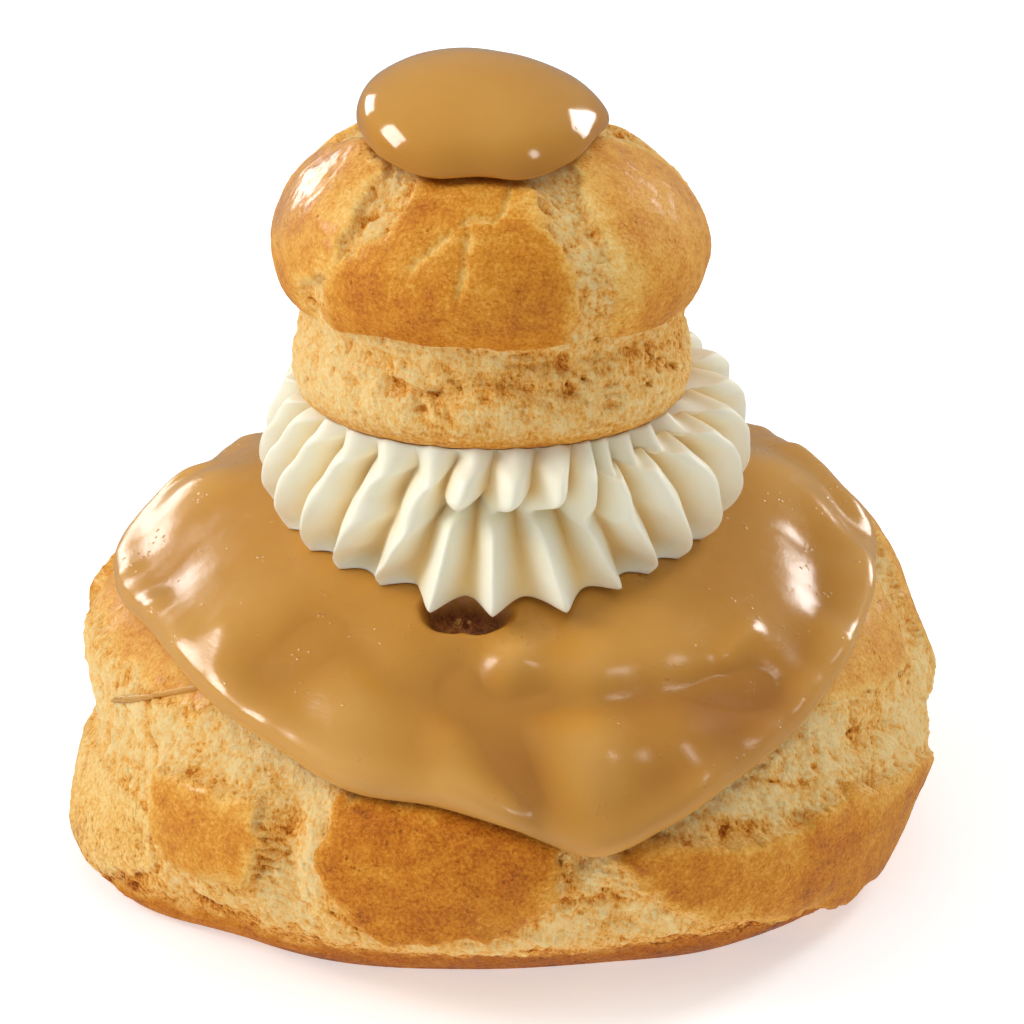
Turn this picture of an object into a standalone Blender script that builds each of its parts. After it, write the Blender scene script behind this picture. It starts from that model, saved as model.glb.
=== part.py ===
"""A coffee religieuse: a small choux bun on a large one, both iced, with a piped cream collar between.

Everything below is in millimetres and degrees, and MM turns it into Blender's metres where points are
written. Azimuth 0 is the front (-Y), and it grows towards +X, the right. Each piece starts as a UV sphere, a
ball of dough, whose points are then moved to the piece's form: a point is an azimuth, and a share that is 0 at
the top of the ball and 1 at its underside.
"""

import math

import bmesh
import bpy
import numpy as np
from mathutils import Vector, noise

MM = 0.001
GAP = 0.3  # left between two pieces that touch

# The large bun. The crust plates stand above its smooth skin, and the torn crumb between them lies below it.
LARGE_PROFILE = (  # distance from the axis and height, from the top down to the flat foot
    (0, 35.4), (8, 35.1), (16, 34.0), (23, 32.0), (29, 29.0), (33.5, 25.3), (36.8, 21.0), (38.6, 16.8),
    (39.1, 12.5), (38.8, 8.5), (37.6, 4.6), (35.6, 1.8), (33.2, 0.2), (31, 0), (15, 0), (0, 0),
)
LARGE_LEAN = 0.05  # the dome's fall towards the front, in mm for each mm
LARGE_BACK = 0.04  # how far its back is pressed in, as a share
LARGE_BULGES = (  # azimuth, height, half width in degrees, half height, how far it stands out
    (-74, 5.4, 17, 4.0, 2.8),
    (-61, 2.3, 11, 2.4, 1.3),
    (-84, 12.9, 14, 2.6, -1.4),
    (-96, 20.0, 20, 5.0, 1.7),
    (112, 24, 28, 5.6, 2.6),
    (88, 13.7, 17, 5.0, 2.0),
    (58, 3, 14, 2.6, 0.6),
    (150, 10, 24, 7.0, 1.2),
    (-150, 12, 26, 8.0, 1.0),
)
FOOT_TUCK = (  # azimuth, share by which the foot draws in under the bun
    (-180, 0.02), (-60, 0.0), (-35, 0.06), (-5, 0.15), (20, 0.14), (38, 0.06), (60, 0.0), (120, 0.03),
)
LARGE_LIFT = 0.9  # how far a crust plate stands above the skin
LARGE_TEAR = 1.3  # how far the torn crumb lies below it
LARGE_PLATES = {  # corners as (azimuth, height), and the share of the lift
    "front_left": (((-50, 18.5), (-31, 21.5), (-28, 16), (-29, 11), (-40, 9.5), (-51, 11.5)), 1.0),
    "front": (((-22, 21.5), (-4, 23), (8, 19), (8.5, 14), (3, 9.8), (-20, 9.2), (-23, 15)), 1.0),
    "front_right": (
        (
            (15, 17), (21, 18.8), (34, 15.3), (44, 15.6), (54, 16),
            (73, 12.2), (88, 7.5), (86, 3), (60, 4), (30, 9.3),
        ),
        1.0,
    ),
    "right_upper": (((57, 24), (73, 26), (90, 26), (88, 22), (80, 19.5), (69, 20.5)), 0.6),
    "right_side": (((91, 22), (104, 25), (121, 22), (120, 10), (102, 9), (94, 13)), 0.8),
    "left_lobe": (((-93, 10), (-78, 12.5), (-63, 14), (-54, 13), (-53, 7), (-66, 3.5), (-86, 4)), 0.7),
    "left_upper": (
        ((-116, 27), (-70, 27), (-47, 26.5), (-55, 23.6), (-75, 22), (-97, 19.5), (-114, 20)),
        0.5,
    ),
    "back_right_low": (((100, 6), (124, 8), (142, 7), (140, 2.5), (118, 2), (101, 3)), 0.8),
    "back_right": (((128, 22), (146, 24), (166, 20), (168, 11), (150, 9.5), (130, 11)), 1.0),
    "back": (((174, 18), (190, 22), (214, 19), (216, 10), (196, 6), (172, 8)), 1.0),
    "back_left": (((223, 20), (244, 23), (257, 19), (256, 10), (240, 6.5), (222, 9)), 1.0),
}

# The icing on the large bun.
ICING_THICK = 1.2
ICING_BEAD = 0.5  # extra thickness of the rounded edge
ICING_EDGE = (  # height of the edge at each azimuth: a long tongue in front, shallow scallops elsewhere
    (-180, 25.6), (-150, 23.6), (-125, 26.8), (-112, 27.4), (-101, 24.6), (-88, 24.8), (-70, 26.4),
    (-47, 25.5), (-34, 24.3), (-21, 22.4), (-8, 22.0), (2, 20.4), (13, 17.7), (22, 19.1), (33, 21.2),
    (48, 23.0), (64, 24.6), (84, 25.5), (98, 25.4), (118, 27.6), (140, 25.2), (160, 26),
)
ICING_SWELLS = (  # azimuth, distance from the axis, half width, height: where the icing lies thick or thin
    (12, 36, 5.0, 0.9),
    (8, 31, 5.0, 0.8),
    (-8, 30, 5.5, -0.7),
    (22, 34, 5.0, -0.6),
    (30, 28, 6.0, 0.6),
    (-40, 29, 7.0, 0.5),
    (-95, 30, 5.5, 1.0),
    (-75, 32, 4.5, -0.4),
    (66, 31, 4.5, 0.9),
    (82, 29, 4.0, -0.8),
    (104, 25.5, 4.6, 1.3),
    (150, 30, 6.0, 0.8),
    (-150, 29, 6.0, -0.6),
)
CRATER_AZIMUTH, CRATER_FROM_AXIS = -11.5, 21.7  # a hole left in the icing at the front of the collar
CRATER_WIDE, CRATER_DEEP = 3.4, 2.1  # its half sizes, across and along a meridian

# The piped collar. Each number is the azimuth of one ridge.
RIDGES = (
    -179, -167, -154, -141, -129, -117, -105, -93, -82, -70, -57, -45, -31.5, -15,
    -1.5, 13.5, 27, 39, 50, 63, 76, 89, 102, 115, 128, 140, 153, 166,
)
COLLAR_SEAT = 20.5  # distance from the axis where it leaves the icing
COLLAR_NECK = 16.6  # distance from the small bun's own axis where it leaves that bun's underside
# The crest of a ridge, down from just outside the neck: distance from the axis, and height above the seat.
CREST_LEFT = (
    (19.6, 10.8), (20.4, 9.7), (21.1, 8.0), (21.9, 6.3), (22.3, 4.7), (22.2, 2.9), (21.3, 1.2), (20.5, 0),
)
CREST_RIGHT = (
    (19.1, 10.3), (21.0, 10.5), (22.5, 9.2), (23.1, 7.4), (23.2, 5.4), (23.0, 3.4), (22.0, 1.4), (20.5, 0),
)
CREST_FRONT = (
    (20.0, 13.0), (20.7, 11.6), (20.6, 9.9), (19.8, 8.5), (21.0, 7.0), (22.7, 3.7), (24.1, 0.4), (20.5, 0),
)
VALLEY_DEPTH = (0.7, 1.0, 1.4, 1.8, 2.2, 2.7, 3.1, 3.4, 1.2)  # crest to valley, from the neck down
TIER_ROWS = (1.0, 1.0, 1.0, 1.0, 0.5, 0.0, 0.0, 0.0, 0.0)  # 1 where a front ridge belongs to the upper tier
FRONT_MIDDLE, FRONT_HALF_WIDTH = 4.0, 26.0  # the stretch where the piped ring overlaps itself
COLLAR_ROWS = 13
ROOF_SHARE, FLOOR_SHARE = 2 / 13, 10 / 13  # where the collar's upper face ends and its underside begins

# The small bun, in its own frame: origin at its middle, leaning back by SMALL_TILT.
SMALL_MIDDLE = (-0.7, 0.0, 59.9)
SMALL_TILT = 8.0
SMALL_SHEAR = -0.07  # the dome drifts to the left as it rises
SMALL_PROFILE = (
    (0, 12.3), (5, 12.0), (9.5, 10.8), (13.3, 8.6), (16.7, 5.7), (18.8, 2.3), (19.3, -0.2), (18.9, -2.4),
    (18.1, -4.3), (17.6, -6.0), (17.7, -8.2), (17.9, -10.4), (17.7, -12.4), (16.9, -14.1), (15.5, -15.0),
    (12, -15.5), (6, -15.7), (0, -15.8),
)
SMALL_LIFT = 0.7
SMALL_TEAR = 0.9
SMALL_SKIRT = -4.6  # below this height there are no crust plates
SMALL_PLATES = {
    "front": (
        (
            (-24, 10), (8, 10), (16, 8.5), (21.5, 4), (24, -3.4),
            (8, -4.2), (-12, -4.3), (-32, -4), (-51, -3), (-31, 5),
        ),
        1.0,
    ),
    "left": (
        ((-97, 8), (-66, 10.2), (-40, 9), (-37, 5.4), (-42, 2.4), (-55, -1.6), (-71, -3.4), (-100, -3.6)),
        1.0,
    ),
    "right": (
        ((34, 7), (33, 2), (35, -3.2), (60, -3.8), (74, -3.2), (100, -3.6), (98, 8), (64, 10.6), (40, 9.6)),
        0.9,
    ),
    "back_right": (((108, 9), (107, -2.5), (130, -4), (160, -3.4), (163, 4), (152, 9.5)), 0.9),
    "back_left": (((172, 9.8), (170, -3), (200, -4.2), (230, -3.4), (252, -3.2), (250, 8), (215, 10)), 1.0),
}

# The icing cap on the small bun, in the small bun's frame.
CAP_REACH = (  # distance from the axis to its rim: egg shaped, with the narrow end to the right
    (-180, 9.6), (-135, 9.8), (-95, 9.9), (-60, 11.0), (-35, 12.9), (-18, 14.4), (0, 14.1), (14, 14.4),
    (32, 13.0), (60, 11.1), (88, 10.7), (112, 10.0), (140, 8.8),
)
CAP_SHIFT = -0.4
CAP_MIDDLE, CAP_RIM = 4.8, 2.5  # thickness


# ---- Small tools


def smooth_step(low, high, value):
    share = np.clip((value - low) / (high - low), 0.0, 1.0)
    return share * share * (3.0 - 2.0 * share)


def around(places, azimuth):
    """A value that runs smoothly round the piece through hand-placed (azimuth, value) pairs."""
    at, value = (np.array(column, float) for column in zip(*places))
    at = np.concatenate([at - 360, at, at + 360])
    value = np.tile(value, 3)
    slope = np.gradient(value, at)
    azimuth = (np.asarray(azimuth, float) + 180.0) % 360.0 - 180.0
    left = np.clip(np.searchsorted(at, azimuth, side="right") - 1, 0, len(at) - 2)
    span = at[left + 1] - at[left]
    t = (azimuth - at[left]) / span
    rise = value[left] * (1 + 2 * t) * (1 - t) ** 2 + value[left + 1] * t * t * (3 - 2 * t)
    return rise + span * (slope[left] * t * (1 - t) ** 2 - slope[left + 1] * t * t * (1 - t))


def apart(azimuth, centre):
    """Signed difference of two azimuths, in degrees."""
    return (azimuth - centre + 180.0) % 360.0 - 180.0


def to_xyz(azimuth, from_axis, height):
    turn = np.radians(azimuth)
    return np.stack([from_axis * np.sin(turn), -from_axis * np.cos(turn), height + 0.0 * turn], axis=-1)


def grain(points, size, seed):
    """Smooth noise from about -1 to 1 with features of the given size, in millimetres."""
    shift = Vector((17.0 * seed, 5.0 * seed, 11.0 * seed))
    flat = np.asarray(points, float).reshape(-1, 3) / size
    values = [noise.noise(Vector(p) + shift) for p in flat]
    return np.array(values).reshape(np.shape(points)[:-1])


def depth_inside(along, up, corners):
    """Distance in millimetres from each point to an outline: positive inside it, negative outside."""
    nearest = np.full(np.shape(along), 1e9)
    inside = np.zeros(np.shape(along), bool)
    for (a0, u0), (a1, u1) in zip(corners, corners[1:] + corners[:1]):
        da, du = a1 - a0, u1 - u0
        share = np.clip(((along - a0) * da + (up - u0) * du) / (da * da + du * du), 0, 1)
        nearest = np.minimum(nearest, np.hypot(along - a0 - share * da, up - u0 - share * du))
        crosses = (u0 > up) != (u1 > up)
        inside ^= crosses & (along < a0 + (up - u0) * da / (du if du else 1e-9))
    return np.where(inside, nearest, -nearest)


# ---- A bun's smooth form, turned from its profile


def smooth_path(points, count):
    """Points along a smooth path through the given ones, evenly spaced by length, and that length."""
    points = np.array(points, float)
    slopes = np.gradient(points, axis=0)
    fine = np.linspace(0, len(points) - 1, 40 * len(points))
    left = np.minimum(fine.astype(int), len(points) - 2)
    t = (fine - left)[:, None]
    path = points[left] * (1 + 2 * t) * (1 - t) ** 2 + points[left + 1] * t * t * (3 - 2 * t)
    path += slopes[left] * t * (1 - t) ** 2 - slopes[left + 1] * t * t * (1 - t)
    length = np.concatenate([[0], np.cumsum(np.hypot(*np.diff(path, axis=0).T))])
    even = np.linspace(0, length[-1], count)
    return np.stack([np.interp(even, length, path[:, k]) for k in (0, 1)], axis=-1), length[-1]


class Bun:
    """The smooth skin of one bun. A place on it is an azimuth and a share, 0 at the top, 1 at the underside."""

    def __init__(self, profile, bulges=()):
        path, self.length = smooth_path(profile, 600)
        self.from_axis, self.height = path[:, 0], path[:, 1]
        self.share = np.linspace(0, 1, len(path))
        step = np.gradient(path, axis=0)
        size = np.hypot(step[:, 0], step[:, 1])
        self.out, self.up = -step[:, 1] / size, step[:, 0] / size
        self.bulges = bulges
        self.radius = self.from_axis.max()
        self.waist = self.share[np.argmax(self.from_axis)]

    def at(self, azimuth, share):
        """Distance from the axis and height of the skin, and the two parts of the way it faces."""
        tables = self.from_axis, self.height, self.out, self.up
        from_axis, height, out, up = (np.interp(share, self.share, table) for table in tables)
        stands = 0.0
        for centre, level, half_width, half_height, rise in self.bulges:
            spread = (apart(azimuth, centre) / half_width) ** 2 + ((height - level) / half_height) ** 2
            stands = stands + rise * np.exp(-spread)
        return from_axis + out * stands, height + up * stands, out, up

    def share_at_height(self, height):
        return np.interp(-np.asarray(height, float), -self.height, self.share)

    def share_at_reach(self, reach, below=False):
        """Share of the place on the upper side, or on the underside, at a distance from the axis."""
        widest = np.argmax(self.from_axis)
        if below:
            return np.interp(reach, self.from_axis[widest:][::-1], self.share[widest:][::-1])
        return np.interp(reach, self.from_axis[: widest + 1], self.share[: widest + 1])

    def up_along(self, share):
        """Millimetres up the side from the widest level."""
        return (self.waist - share) * self.length

    def plate_depth(self, azimuth, share, corners):
        """How deep inside a crust plate each point lies, in millimetres on the skin."""
        centre = sum(a for a, _ in corners) / len(corners)
        per_degree = math.radians(self.radius)
        outline = tuple(
            ((a - centre) * per_degree, float(self.up_along(self.share_at_height(h)))) for a, h in corners
        )
        return depth_inside(apart(azimuth, centre) * per_degree, self.up_along(share), outline)


large_bun = Bun(LARGE_PROFILE, LARGE_BULGES)
small_bun = Bun(SMALL_PROFILE)


def lean(points):
    """Lowers the front of the large bun's dome, lifts its back and presses the back in."""
    points[..., 1] *= 1.0 - LARGE_BACK * smooth_step(22.0, 36.0, points[..., 1])
    weight = smooth_step(8.0, 32.0, points[..., 2])
    points[..., 2] += LARGE_LEAN * points[..., 1] * weight
    return points


def crust_relief(bun, azimuth, share, plates, lift, tear, edge):
    """Height above the skin: crust plates stand out, with a curled lip, and the torn crumb lies low."""
    from_axis, height, _, _ = bun.at(azimuth, share)
    points = to_xyz(azimuth, from_axis, height)
    wobble = 0.9 * grain(points, 5.0, 1) + 0.5 * grain(points, 2.2, 2)
    crust = np.zeros_like(from_axis)
    for corners, part in plates.values():
        depth = bun.plate_depth(azimuth, share, corners) + wobble
        lip = 0.3 * np.exp(-(((depth - 1.2) / 1.0) ** 2))
        crust = np.maximum(crust, part * (smooth_step(-edge, edge, depth) + lip))
    crags = 0.4 * grain(points, 4.0, 3) + 0.25 * grain(points, 2.0, 4)
    return crust * (lift + tear) - tear + (1.0 - np.clip(crust, 0, 1)) * crags


# ---- The five pieces. Each function takes an azimuth and a share down the ball, and returns points.


def large_choux(azimuth, share):
    share = np.interp(share, (0.0, 0.14, 0.93, 1.0), (0.0, 0.33, 0.73, 1.0))
    from_axis, height, out, up = large_bun.at(azimuth, share)
    relief = crust_relief(large_bun, azimuth, share, LARGE_PLATES, LARGE_LIFT, LARGE_TEAR, 0.8)
    past_edge = (share - icing_edge_share(azimuth)) * large_bun.length
    shown = smooth_step(-2.0, 0.5, past_edge)
    raised = smooth_step(0.0, 1.8, past_edge)
    relief = np.minimum(relief, 0.0) * shown + np.maximum(relief, 0.0) * raised
    relief = relief * smooth_step(0.0, 3.5, height + 0.3)
    relief = relief - 2.0 * crater(azimuth, from_axis, 1.3) * (height > 20)
    points = to_xyz(azimuth, from_axis + out * relief, height + up * relief)
    tuck = 1.0 - around(FOOT_TUCK, azimuth) * smooth_step(8.0, 0.0, height)
    points[..., 0] *= tuck
    points[..., 1] *= tuck
    points[..., 2] = np.where(share > large_bun.share_at_height(0.25), 0.0, np.maximum(points[..., 2], 0.0))
    return lean(points)


def crater(azimuth, from_axis, widen):
    """1 in the middle of the hole in the icing, 0 away from it."""
    across = np.radians(apart(azimuth, CRATER_AZIMUTH)) * CRATER_FROM_AXIS / (CRATER_WIDE * widen)
    deep = (from_axis - CRATER_FROM_AXIS) / (CRATER_DEEP * widen)
    return np.exp(-((across**2 + deep**2) ** 1.5))


def icing_edge_share(azimuth):
    return large_bun.share_at_height(around(ICING_EDGE, azimuth))


def icing_swell(azimuth, from_axis):
    """Waves in the icing, in millimetres."""
    points = to_xyz(azimuth, from_axis, 0.0)
    swell = 0.0
    for centre, reach, half_width, rise in ICING_SWELLS:
        place = to_xyz(np.array(float(centre)), reach, 0.0)
        away = np.hypot(points[..., 0] - place[0], points[..., 1] - place[1])
        swell = swell + rise * np.exp(-((away / half_width) ** 2))
    return swell * smooth_step(12.0, 24.0, from_axis)


def icing_thickness(azimuth, share):
    from_axis, _, _, _ = large_bun.at(azimuth, share)
    back = (icing_edge_share(azimuth) - share) * large_bun.length
    bead = ICING_BEAD * np.exp(-(((back - 1.6) / 1.6) ** 2))
    return np.maximum(ICING_THICK + bead + icing_swell(azimuth, from_axis), 0.7)


def icing_point(azimuth, share, above):
    """A point that lies a given distance above the large bun's skin."""
    from_axis, height, out, up = large_bun.at(azimuth, share)
    return lean(to_xyz(azimuth, from_axis + out * above, height + up * above))


def large_icing(azimuth, share):
    """Upper half of the ball is the icing's top, lower half the side that lies on the bun."""
    on_top = share <= 0.5
    part = 1 - (1 - 2 * np.where(on_top, share, 1 - share)) ** 1.4
    edge = icing_edge_share(azimuth) - np.where(on_top, 0.0, 0.35 / large_bun.length)
    at = part * edge
    rim = np.sqrt(np.clip(1 - smooth_step(0.93, 1.0, part) ** 2, 0, 1))
    above = np.where(on_top, icing_thickness(azimuth, at) * (0.45 + 0.55 * rim), 0.0)
    return icing_point(azimuth, at, GAP + above)


def ridge_azimuth(turns):
    """Azimuth of the ridge numbered turns; a half is the valley between two ridges."""
    ends = np.array(RIDGES + (RIDGES[0] + 360,), float)
    return np.interp(turns, np.arange(len(ends)), ends)


def along(stations, place):
    """Smooth reading of a column of numbers, one for each station, at places from 0 to 1."""
    stations = np.array([np.broadcast_to(row, place.shape) for row in stations], float)
    slope = np.gradient(stations, axis=0)
    at = np.clip(place, 0, 1) * (len(stations) - 1)
    left = np.minimum(at.astype(int), len(stations) - 2)
    t = at - left
    here, there, leave, arrive = (
        np.take_along_axis(table, (left + step)[None], axis=0)[0]
        for table, step in ((stations, 0), (stations, 1), (slope, 0), (slope, 1))
    )
    value = here * (1 + 2 * t) * (1 - t) ** 2 + there * t * t * (3 - 2 * t)
    return value + leave * t * (1 - t) ** 2 - arrive * t * t * (1 - t)


def collar(azimuth, share):
    """The piped collar. Its columns follow the ridges: a whole ridge to each equal step of azimuth."""
    turns = (azimuth % 360) / 360 * len(RIDGES)
    at = ridge_azimuth(turns)
    valley = np.abs(np.sin(np.pi * turns))
    upper_valley = np.abs(np.cos(np.pi * turns))
    front = 1 - smooth_step(FRONT_HALF_WIDTH - 9, FRONT_HALF_WIDTH + 9, np.abs(apart(at, FRONT_MIDDLE)))
    right = (1 - smooth_step(70, 125, np.abs(apart(at, 135.0)))) * (1 - front)
    left = 1 - front - right
    # Underside, on the icing, from the axis out to the seat.
    seat = COLLAR_SEAT - VALLEY_DEPTH[-1] * valley
    floor = collar_floor(at, seat * np.clip((1 - share) / (1 - FLOOR_SHARE), 0, 1))
    # Upper face, under the small bun, from the axis out to the neck.
    neck = COLLAR_NECK - VALLEY_DEPTH[0] * (front * upper_valley + (1 - front) * valley)
    roof = small_under(at, neck * np.clip(share / ROOF_SHARE, 0, 1) ** 0.2)
    # Flank between them.
    down = np.clip((share - ROOF_SHARE) / (FLOOR_SHARE - ROOF_SHARE), 0, 1)
    start, end = small_under(at, neck), collar_floor(at, seat)
    reach, height = [np.hypot(start[..., 0], start[..., 1]) + VALLEY_DEPTH[0] * valley], [start[..., 2]]
    for on_left, on_right, in_front in zip(CREST_LEFT, CREST_RIGHT, CREST_FRONT):
        reach.append(left * on_left[0] + right * on_right[0] + front * in_front[0])
        height.append(end[..., 2] + left * on_left[1] + right * on_right[1] + front * in_front[1])
    tier = front * along(TIER_ROWS, down)
    groove = along(VALLEY_DEPTH, down) * (valley * (1 - tier) + upper_valley * tier)
    flank = to_xyz(at, along(reach, down) - groove, along(height, down))
    side = np.where((share > FLOOR_SHARE)[..., None], floor, flank)
    return np.where((share < ROOF_SHARE)[..., None], roof, side)


def collar_floor(azimuth, reach):
    """A point just above the icing at a distance from the axis."""
    share = large_bun.share_at_reach(reach)
    return icing_point(azimuth, share, 2 * GAP + icing_thickness(azimuth, share))


def small_under(azimuth, reach):
    """A point just below the small bun, at a distance from that bun's axis, in the whole pastry's frame."""
    foot = small_to_world(np.array([0.0, 0.0, SMALL_PROFILE[-1][1]]))
    turn = np.radians(azimuth)
    aside = np.degrees(np.arcsin((foot[0] * np.cos(turn) + foot[1] * np.sin(turn)) / COLLAR_NECK))
    share = small_bun.share_at_reach(reach, below=True)
    from_axis, height, out, up = small_bun.at(azimuth, share)
    return small_to_world(to_xyz(azimuth - aside, from_axis + out * GAP, height + up * GAP))


def small_to_world(points):
    turn = math.radians(SMALL_TILT)
    x, y, z = points[..., 0], points[..., 1], points[..., 2]
    back = y * math.cos(turn) + z * math.sin(turn)
    height = z * math.cos(turn) - y * math.sin(turn)
    return np.stack([x, back, height], axis=-1) + np.array(SMALL_MIDDLE)


def small_choux(azimuth, share):
    share = np.interp(share, (0.0, 0.1, 0.85, 1.0), (0.0, 0.16, 0.74, 1.0))
    from_axis, height, out, up = small_bun.at(azimuth, share)
    relief = crust_relief(small_bun, azimuth, share, SMALL_PLATES, SMALL_LIFT, SMALL_TEAR, 0.6)
    under_cap = 1 - smooth_step(-1.5, 0.8, from_axis - around(CAP_REACH, azimuth))
    bare = (1 - under_cap * (height > 0)) * smooth_step(SMALL_SKIRT - 1.2, SMALL_SKIRT + 0.6, height)
    return shear(to_xyz(azimuth, from_axis + out * relief * bare, height + up * relief * bare))


def shear(points):
    points[..., 0] += SMALL_SHEAR * np.maximum(points[..., 2], 0.0)
    return points


def small_icing(azimuth, share):
    """A thick drop: top and underside meet in a rounded rim that stands free of the bun."""
    on_top = share <= 0.5
    part = np.sin(np.radians(180 * np.where(on_top, share, 1 - share)))
    at = small_bun.share_at_reach(part * around(CAP_REACH, azimuth))
    rim = np.sqrt(np.clip(1 - (np.clip(part - 0.78, 0, 1) / 0.22) ** 2, 0, 1))
    middle = GAP + CAP_RIM / 2
    thick = CAP_MIDDLE + (CAP_RIM - CAP_MIDDLE) * part**2
    above = middle + rim * np.where(on_top, thick - CAP_RIM / 2, -CAP_RIM / 2)
    from_axis, height, out, up = small_bun.at(azimuth, at)
    points = to_xyz(azimuth, from_axis + out * above, height + up * above)
    points[..., 0] += CAP_SHIFT * smooth_step(GAP, 2.0, above) - 0.25 * np.maximum(above - 2.0, 0.0)
    return shear(points)


# ---- Making the objects


def material(name, colour, roughness):
    finish = bpy.data.materials.new(name)
    finish.use_nodes = True
    shader = finish.node_tree.nodes["Principled BSDF"]
    shader.inputs["Base Color"].default_value = (*colour, 1.0)
    shader.inputs["Roughness"].default_value = roughness
    shader.inputs["Metallic"].default_value = 0.0
    return finish


def piece(name, form, columns, rows, finish):
    """A UV sphere of the given fineness, moved to a form and given its finish."""
    mesh_builder = bmesh.new()
    bmesh.ops.create_uvsphere(mesh_builder, u_segments=columns, v_segments=rows, radius=1.0)
    places = np.array([v.co for v in mesh_builder.verts])
    azimuth = np.degrees(np.arctan2(places[:, 0], -places[:, 1]))
    share = np.round(np.degrees(np.arccos(np.clip(places[:, 2], -1, 1))) * rows / 180) / rows
    azimuth = np.where((share == 0) | (share == 1), 0.0, np.round(azimuth * columns / 360) * 360 / columns)
    for vertex, point in zip(mesh_builder.verts, form(azimuth, share)):
        vertex.co = Vector(point) * MM
    bmesh.ops.recalc_face_normals(mesh_builder, faces=mesh_builder.faces)
    mesh = bpy.data.meshes.new(name)
    mesh_builder.to_mesh(mesh)
    mesh_builder.free()
    mesh.shade_smooth()
    mesh.materials.append(finish)
    made = bpy.data.objects.new(name, mesh)
    bpy.context.scene.collection.objects.link(made)
    return made


def cut_crater(icing):
    """Cuts the hole through the icing with a flattened ball."""
    bpy.ops.mesh.primitive_uv_sphere_add(segments=16, ring_count=10, radius=1.0)
    cutter = bpy.context.object
    cutter.name = "crater_cutter"
    turn = np.array(CRATER_AZIMUTH)
    centre = icing_point(turn, large_bun.share_at_reach(CRATER_FROM_AXIS), 1.0)
    cutter.scale = (CRATER_WIDE * MM, CRATER_DEEP * MM, 4.0 * MM)
    cutter.rotation_euler = (0, 0, math.radians(CRATER_AZIMUTH))
    cutter.location = Vector(centre) * MM
    cutter.hide_render = True
    cutter.display_type = "WIRE"
    cut = icing.modifiers.new("crater", "BOOLEAN")
    cut.operation = "DIFFERENCE"
    cut.object = cutter
    return cutter


def main():
    for old in list(bpy.data.objects):
        bpy.data.objects.remove(old)
    crust = material("choux_crust", (0.62, 0.30, 0.07), 0.5)
    coffee = material("coffee_icing", (0.55, 0.27, 0.07), 0.2)
    cream = material("butter_cream", (0.87, 0.76, 0.48), 0.45)

    piece("large_choux", large_choux, 100, 27, crust)
    icing = piece("large_icing", large_icing, 64, 18, coffee)
    cut_crater(icing)
    piece("cream_collar", collar, len(RIDGES) * 6, COLLAR_ROWS, cream)

    head = bpy.data.objects.new("small_bun_place", None)
    bpy.context.scene.collection.objects.link(head)
    head.location = Vector(SMALL_MIDDLE) * MM
    head.rotation_euler = (-math.radians(SMALL_TILT), 0, 0)
    small = piece("small_choux", small_choux, 60, 20, crust)
    cap = piece("small_icing", small_icing, 36, 12, coffee)
    small.parent = head
    cap.parent = head


main()
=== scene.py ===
# %% [markdown]
# # A coffee religieuse
#
# A religieuse is two choux buns, a small one sitting on a large one. Each wears a coat of coffee fondant,
# and a collar of buttercream is piped where they meet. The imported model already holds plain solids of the
# five pieces. This lesson dresses each one: the same form at a much finer grain, with torn crumb, baked
# crust, poured icing and piped cream. Sizes are in millimetres and degrees, and MM turns them into
# Blender's metres. Azimuth 0 is the front, -Y, and it grows towards +X, the right.

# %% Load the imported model
import itertools
import math

import bmesh
import bpy
import numpy as np
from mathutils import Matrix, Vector, noise


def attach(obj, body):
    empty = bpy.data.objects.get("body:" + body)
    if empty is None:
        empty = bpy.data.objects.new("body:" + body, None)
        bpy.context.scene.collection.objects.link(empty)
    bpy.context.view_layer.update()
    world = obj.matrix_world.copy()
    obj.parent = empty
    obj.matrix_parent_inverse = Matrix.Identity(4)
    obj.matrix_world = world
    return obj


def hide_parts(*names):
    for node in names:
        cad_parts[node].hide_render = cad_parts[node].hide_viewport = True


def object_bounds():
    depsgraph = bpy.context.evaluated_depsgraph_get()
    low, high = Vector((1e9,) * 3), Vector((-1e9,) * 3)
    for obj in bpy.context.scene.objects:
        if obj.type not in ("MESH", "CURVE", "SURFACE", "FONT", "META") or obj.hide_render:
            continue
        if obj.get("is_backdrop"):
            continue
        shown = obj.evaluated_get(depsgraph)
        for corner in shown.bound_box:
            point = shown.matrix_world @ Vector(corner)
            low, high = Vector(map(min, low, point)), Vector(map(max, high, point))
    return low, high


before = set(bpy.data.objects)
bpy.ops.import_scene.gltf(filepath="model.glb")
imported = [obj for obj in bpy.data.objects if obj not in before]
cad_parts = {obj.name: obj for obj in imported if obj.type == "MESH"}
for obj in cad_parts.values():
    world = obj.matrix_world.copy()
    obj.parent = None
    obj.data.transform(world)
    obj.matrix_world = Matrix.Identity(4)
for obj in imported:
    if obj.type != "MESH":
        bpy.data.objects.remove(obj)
CAD_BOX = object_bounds()
MM = 0.001
GAP = 0.3  # left between two pieces that touch
print("nodes:", sorted(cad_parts))
print("solid model, mm:", [[round(x / MM, 1) for x in corner] for corner in CAD_BOX])

# %% [markdown]
# ## Camera
#
# The pastry is seen from the front and a little above, from far enough away that it hardly tapers. A long
# lens does that. The camera is placed on a circle round a target inside the pastry, so three numbers say
# where it is: the elevation, the distance and the height it looks at.

# %% The camera
ELEVATION = 26.0
DISTANCE = 560.0
LOOK_AT = Vector((1.11, 0.0, 32.5))  # the pastry stands a little left of the middle of the frame
PIXEL = 0.0925  # millimetres to a pixel at the target
FRAME_PIXELS = 1024
SENSOR = 36.0

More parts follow.
